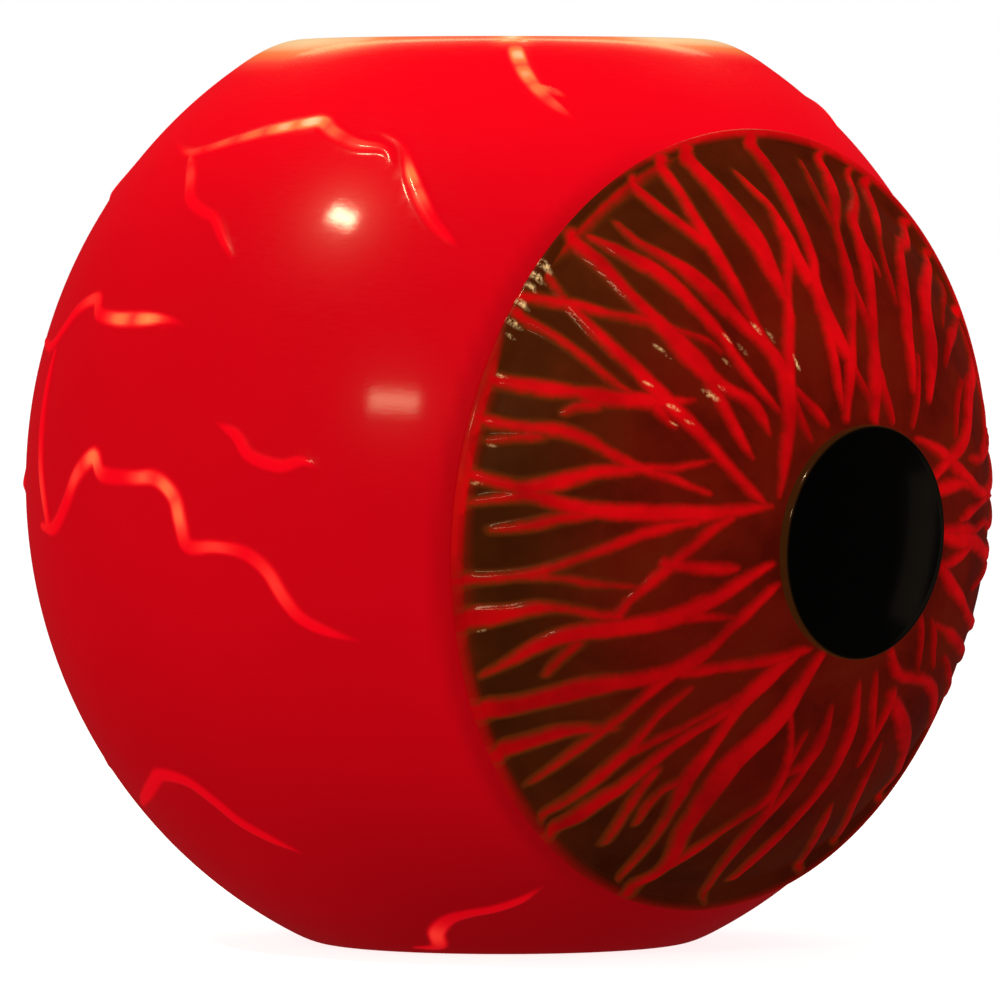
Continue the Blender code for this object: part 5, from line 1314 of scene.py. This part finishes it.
def make_spring(context):
    """The button's coil spring, which shortens from its lower end as the button is pressed."""
    low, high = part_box("button_spring")
    wire, turns, parts, sides = 0.00035, 4, 28, 10
    middle = [(low[0] + high[0]) / 2, (low[1] + high[1]) / 2]
    radius = (high[0] - low[0]) / 2 - wire
    count = turns * parts
    bottom, top = low[2] + wire, high[2] - wire
    points = []
    for step in range(count + 1):
        turn = 2 * math.pi * step / parts
        outward = Vector((math.cos(turn), math.sin(turn), 0.0))
        spot = outward * radius + Vector((*middle, bottom + (top - bottom) * step / count))
        for side in range(sides):
            angle = 2 * math.pi * side / sides
            points.append(spot + wire * (math.cos(angle) * outward + math.sin(angle) * Vector((0, 0, 1))))
    faces = [list(range(sides)), list(range(count * sides, (count + 1) * sides))]
    for step in range(count):
        start, after = step * sides, (step + 1) * sides
        for side in range(sides):
            beside = (side + 1) % sides
            faces.append([start + side, start + beside, after + beside, after + side])
    mesh = bpy.data.meshes.new("button_return_spring")
    mesh.from_pydata([point[:] for point in points], [], faces)
    piece = finished(mesh, plated("spring_steel", (0.56, 0.56, 0.55)))
    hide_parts("button_spring")
    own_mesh(piece)


# ---- Stage ---------------------------------------------------------------------------------
def soft_box(name, direction, distance, size, power, colour, target):
    light = bpy.data.lights.new(name, "AREA")
    light.shape = "RECTANGLE"
    light.size, light.size_y = size
    light.energy = power
    light.color = colour
    lamp = bpy.data.objects.new(name, light)
    lamp.location = target + Vector(direction).normalized() * distance
    lamp.rotation_euler = (target - lamp.location).to_track_quat("-Z", "Y").to_euler()
    lamp.visible_camera = False
    bpy.context.scene.collection.objects.link(lamp)


def make_camera(scene, studio, centre):
    camera_data = bpy.data.cameras.new("camera")
    camera_data.lens = studio.lens
    camera_data.sensor_width = SENSOR_WIDTH
    camera_data.shift_x, camera_data.shift_y = CAMERA_SHIFT
    camera = bpy.data.objects.new("camera", camera_data)
    across = -CAMERA_DISTANCE * math.sin(CAMERA_SIDE)
    forward = -CAMERA_DISTANCE * math.cos(CAMERA_SIDE)
    camera.location = centre + Vector((across, forward, CAMERA_RISE))
    camera.rotation_euler = (centre - camera.location).to_track_quat("-Z", "Y").to_euler()
    scene.collection.objects.link(camera)
    scene.camera = camera


def make_floor(scene, studio):
    finish = Finish("studio_floor", Specular_IOR_Level=0.1, Emission_Strength=0.85)
    cloud = finish.noise(1.5, 2.0)
    shades = ((0.3, dim(studio.floor, 0.985)), (0.7, tuple(studio.floor)))
    finish.set("Base Color", finish.ramp(cloud, shades))
    finish.set("Roughness", finish.spread(cloud, 0.3, 0.7, 0.75, 0.85))
    finish.shader.inputs["Emission Color"].default_value = (1.0, 1.0, 1.0, 1.0)
    signs = ((-1, -1), (1, -1), (1, 1), (-1, 1))
    corners = [(x * FLOOR_REACH, y * FLOOR_REACH, -FLOOR_DROP) for x, y in signs]
    mesh = bpy.data.meshes.new("studio_floor")
    mesh.from_pydata(corners, [], [(0, 1, 2, 3)])
    mesh.materials.append(finish.material)
    floor = bpy.data.objects.new("studio_floor", mesh)
    floor.visible_glossy = False
    floor.visible_diffuse = False
    scene.collection.objects.link(floor)


def make_world(scene, studio):
    world = bpy.data.worlds.new("studio")
    world.use_nodes = True
    tree = world.node_tree
    back = tree.nodes["Background"]
    back.inputs["Color"].default_value = (1.0, 1.0, 1.0, 1.0)
    path = tree.nodes.new("ShaderNodeLightPath")
    light = tree.nodes.new("ShaderNodeMapRange")
    tree.links.new(path.outputs["Is Glossy Ray"], light.inputs["Value"])
    light.inputs["To Min"].default_value = studio.ambient
    light.inputs["To Max"].default_value = GLOSSY_AMBIENT
    bright = tree.nodes.new("ShaderNodeMath")
    bright.operation = "MAXIMUM"
    tree.links.new(light.outputs["Result"], bright.inputs[0])
    tree.links.new(path.outputs["Is Camera Ray"], bright.inputs[1])
    tree.links.new(bright.outputs[0], back.inputs["Strength"])
    scene.world = world


def make_stage(context):
    scene = context.scene
    studio = settings(context).studio
    centre = Vector((0, 0, centre_height(settings(context).ball)))
    scene.view_settings.view_transform = "Standard"
    make_camera(scene, studio, centre)
    make_floor(scene, studio)
    make_world(scene, studio)
    for row in LIGHTS:
        soft_box(*row, centre)


# ---- Operators -----------------------------------------------------------------------------
class LAMP_OT_ball(Operator):
    """Make the moulded ball with its raised veins"""

    bl_idname = "eyeball_lamp.ball"
    bl_label = "Glowing ball"

    def execute(self, context):
        make_ball(context)
        return {"FINISHED"}


class LAMP_OT_iris(Operator):
    """Make the iris dome with its raised streaks, and the seal ring behind its rim"""

    bl_idname = "eyeball_lamp.iris"
    bl_label = "Iris"

    def execute(self, context):
        make_iris(context)
        make_seal(context)
        return {"FINISHED"}


class LAMP_OT_pupil(Operator):
    """Make the glossy black pupil cap"""

    bl_idname = "eyeball_lamp.pupil"
    bl_label = "Pupil"

    def execute(self, context):
        make_pupil(context)
        return {"FINISHED"}


class LAMP_OT_base(Operator):
    """Finish the base unit: cover, foot, button, charging port and screws"""

    bl_idname = "eyeball_lamp.base"
    bl_label = "Base unit"

    def execute(self, context):
        finish_base(context)
        return {"FINISHED"}


class LAMP_OT_inside(Operator):
    """Finish the parts inside: boards, cells, leads, light engine and fixings, and make the spring"""

    bl_idname = "eyeball_lamp.inside"
    bl_label = "Inside parts"

    def execute(self, context):
        finish_inside(context)
        make_spring(context)
        return {"FINISHED"}


class LAMP_OT_stage(Operator):
    """Set up the floor, the soft light and the camera"""

    bl_idname = "eyeball_lamp.stage"
    bl_label = "Stage"

    def execute(self, context):
        make_stage(context)
        return {"FINISHED"}


class LAMP_PT_sidebar(Panel):
    """Sizes, colours and building steps of the lamp"""

    bl_idname = "LAMP_PT_sidebar"
    bl_label = "Eyeball lamp"
    bl_space_type = "VIEW_3D"
    bl_region_type = "UI"
    bl_category = "Eyeball lamp"

    def draw(self, context):
        lamp = settings(context)
        for title, group in (("Ball", lamp.ball), ("Eye", lamp.eye), ("Studio", lamp.studio)):
            box = self.layout.box()
            box.label(text=title)
            for key in group.__annotations__:
                box.prop(group, key)
        for operator in OPERATORS:
            self.layout.operator(operator.bl_idname)


OPERATORS = (LAMP_OT_stage, LAMP_OT_ball, LAMP_OT_iris, LAMP_OT_pupil, LAMP_OT_base, LAMP_OT_inside)
CLASSES = (BallSettings, EyeSettings, StudioSettings, LampSettings, *OPERATORS, LAMP_PT_sidebar)


def register():
    for item in CLASSES:
        bpy.utils.register_class(item)
    bpy.types.Scene.eyeball_lamp = PointerProperty(type=LampSettings)


def unregister():
    del bpy.types.Scene.eyeball_lamp
    for item in reversed(CLASSES):
        bpy.utils.unregister_class(item)


def main():
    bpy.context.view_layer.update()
    register()
    bpy.ops.eyeball_lamp.stage()
    bpy.ops.eyeball_lamp.ball()
    bpy.ops.eyeball_lamp.iris()
    bpy.ops.eyeball_lamp.pupil()
    bpy.ops.eyeball_lamp.base()
    bpy.ops.eyeball_lamp.inside()


if __name__ == "__main__":
    main()
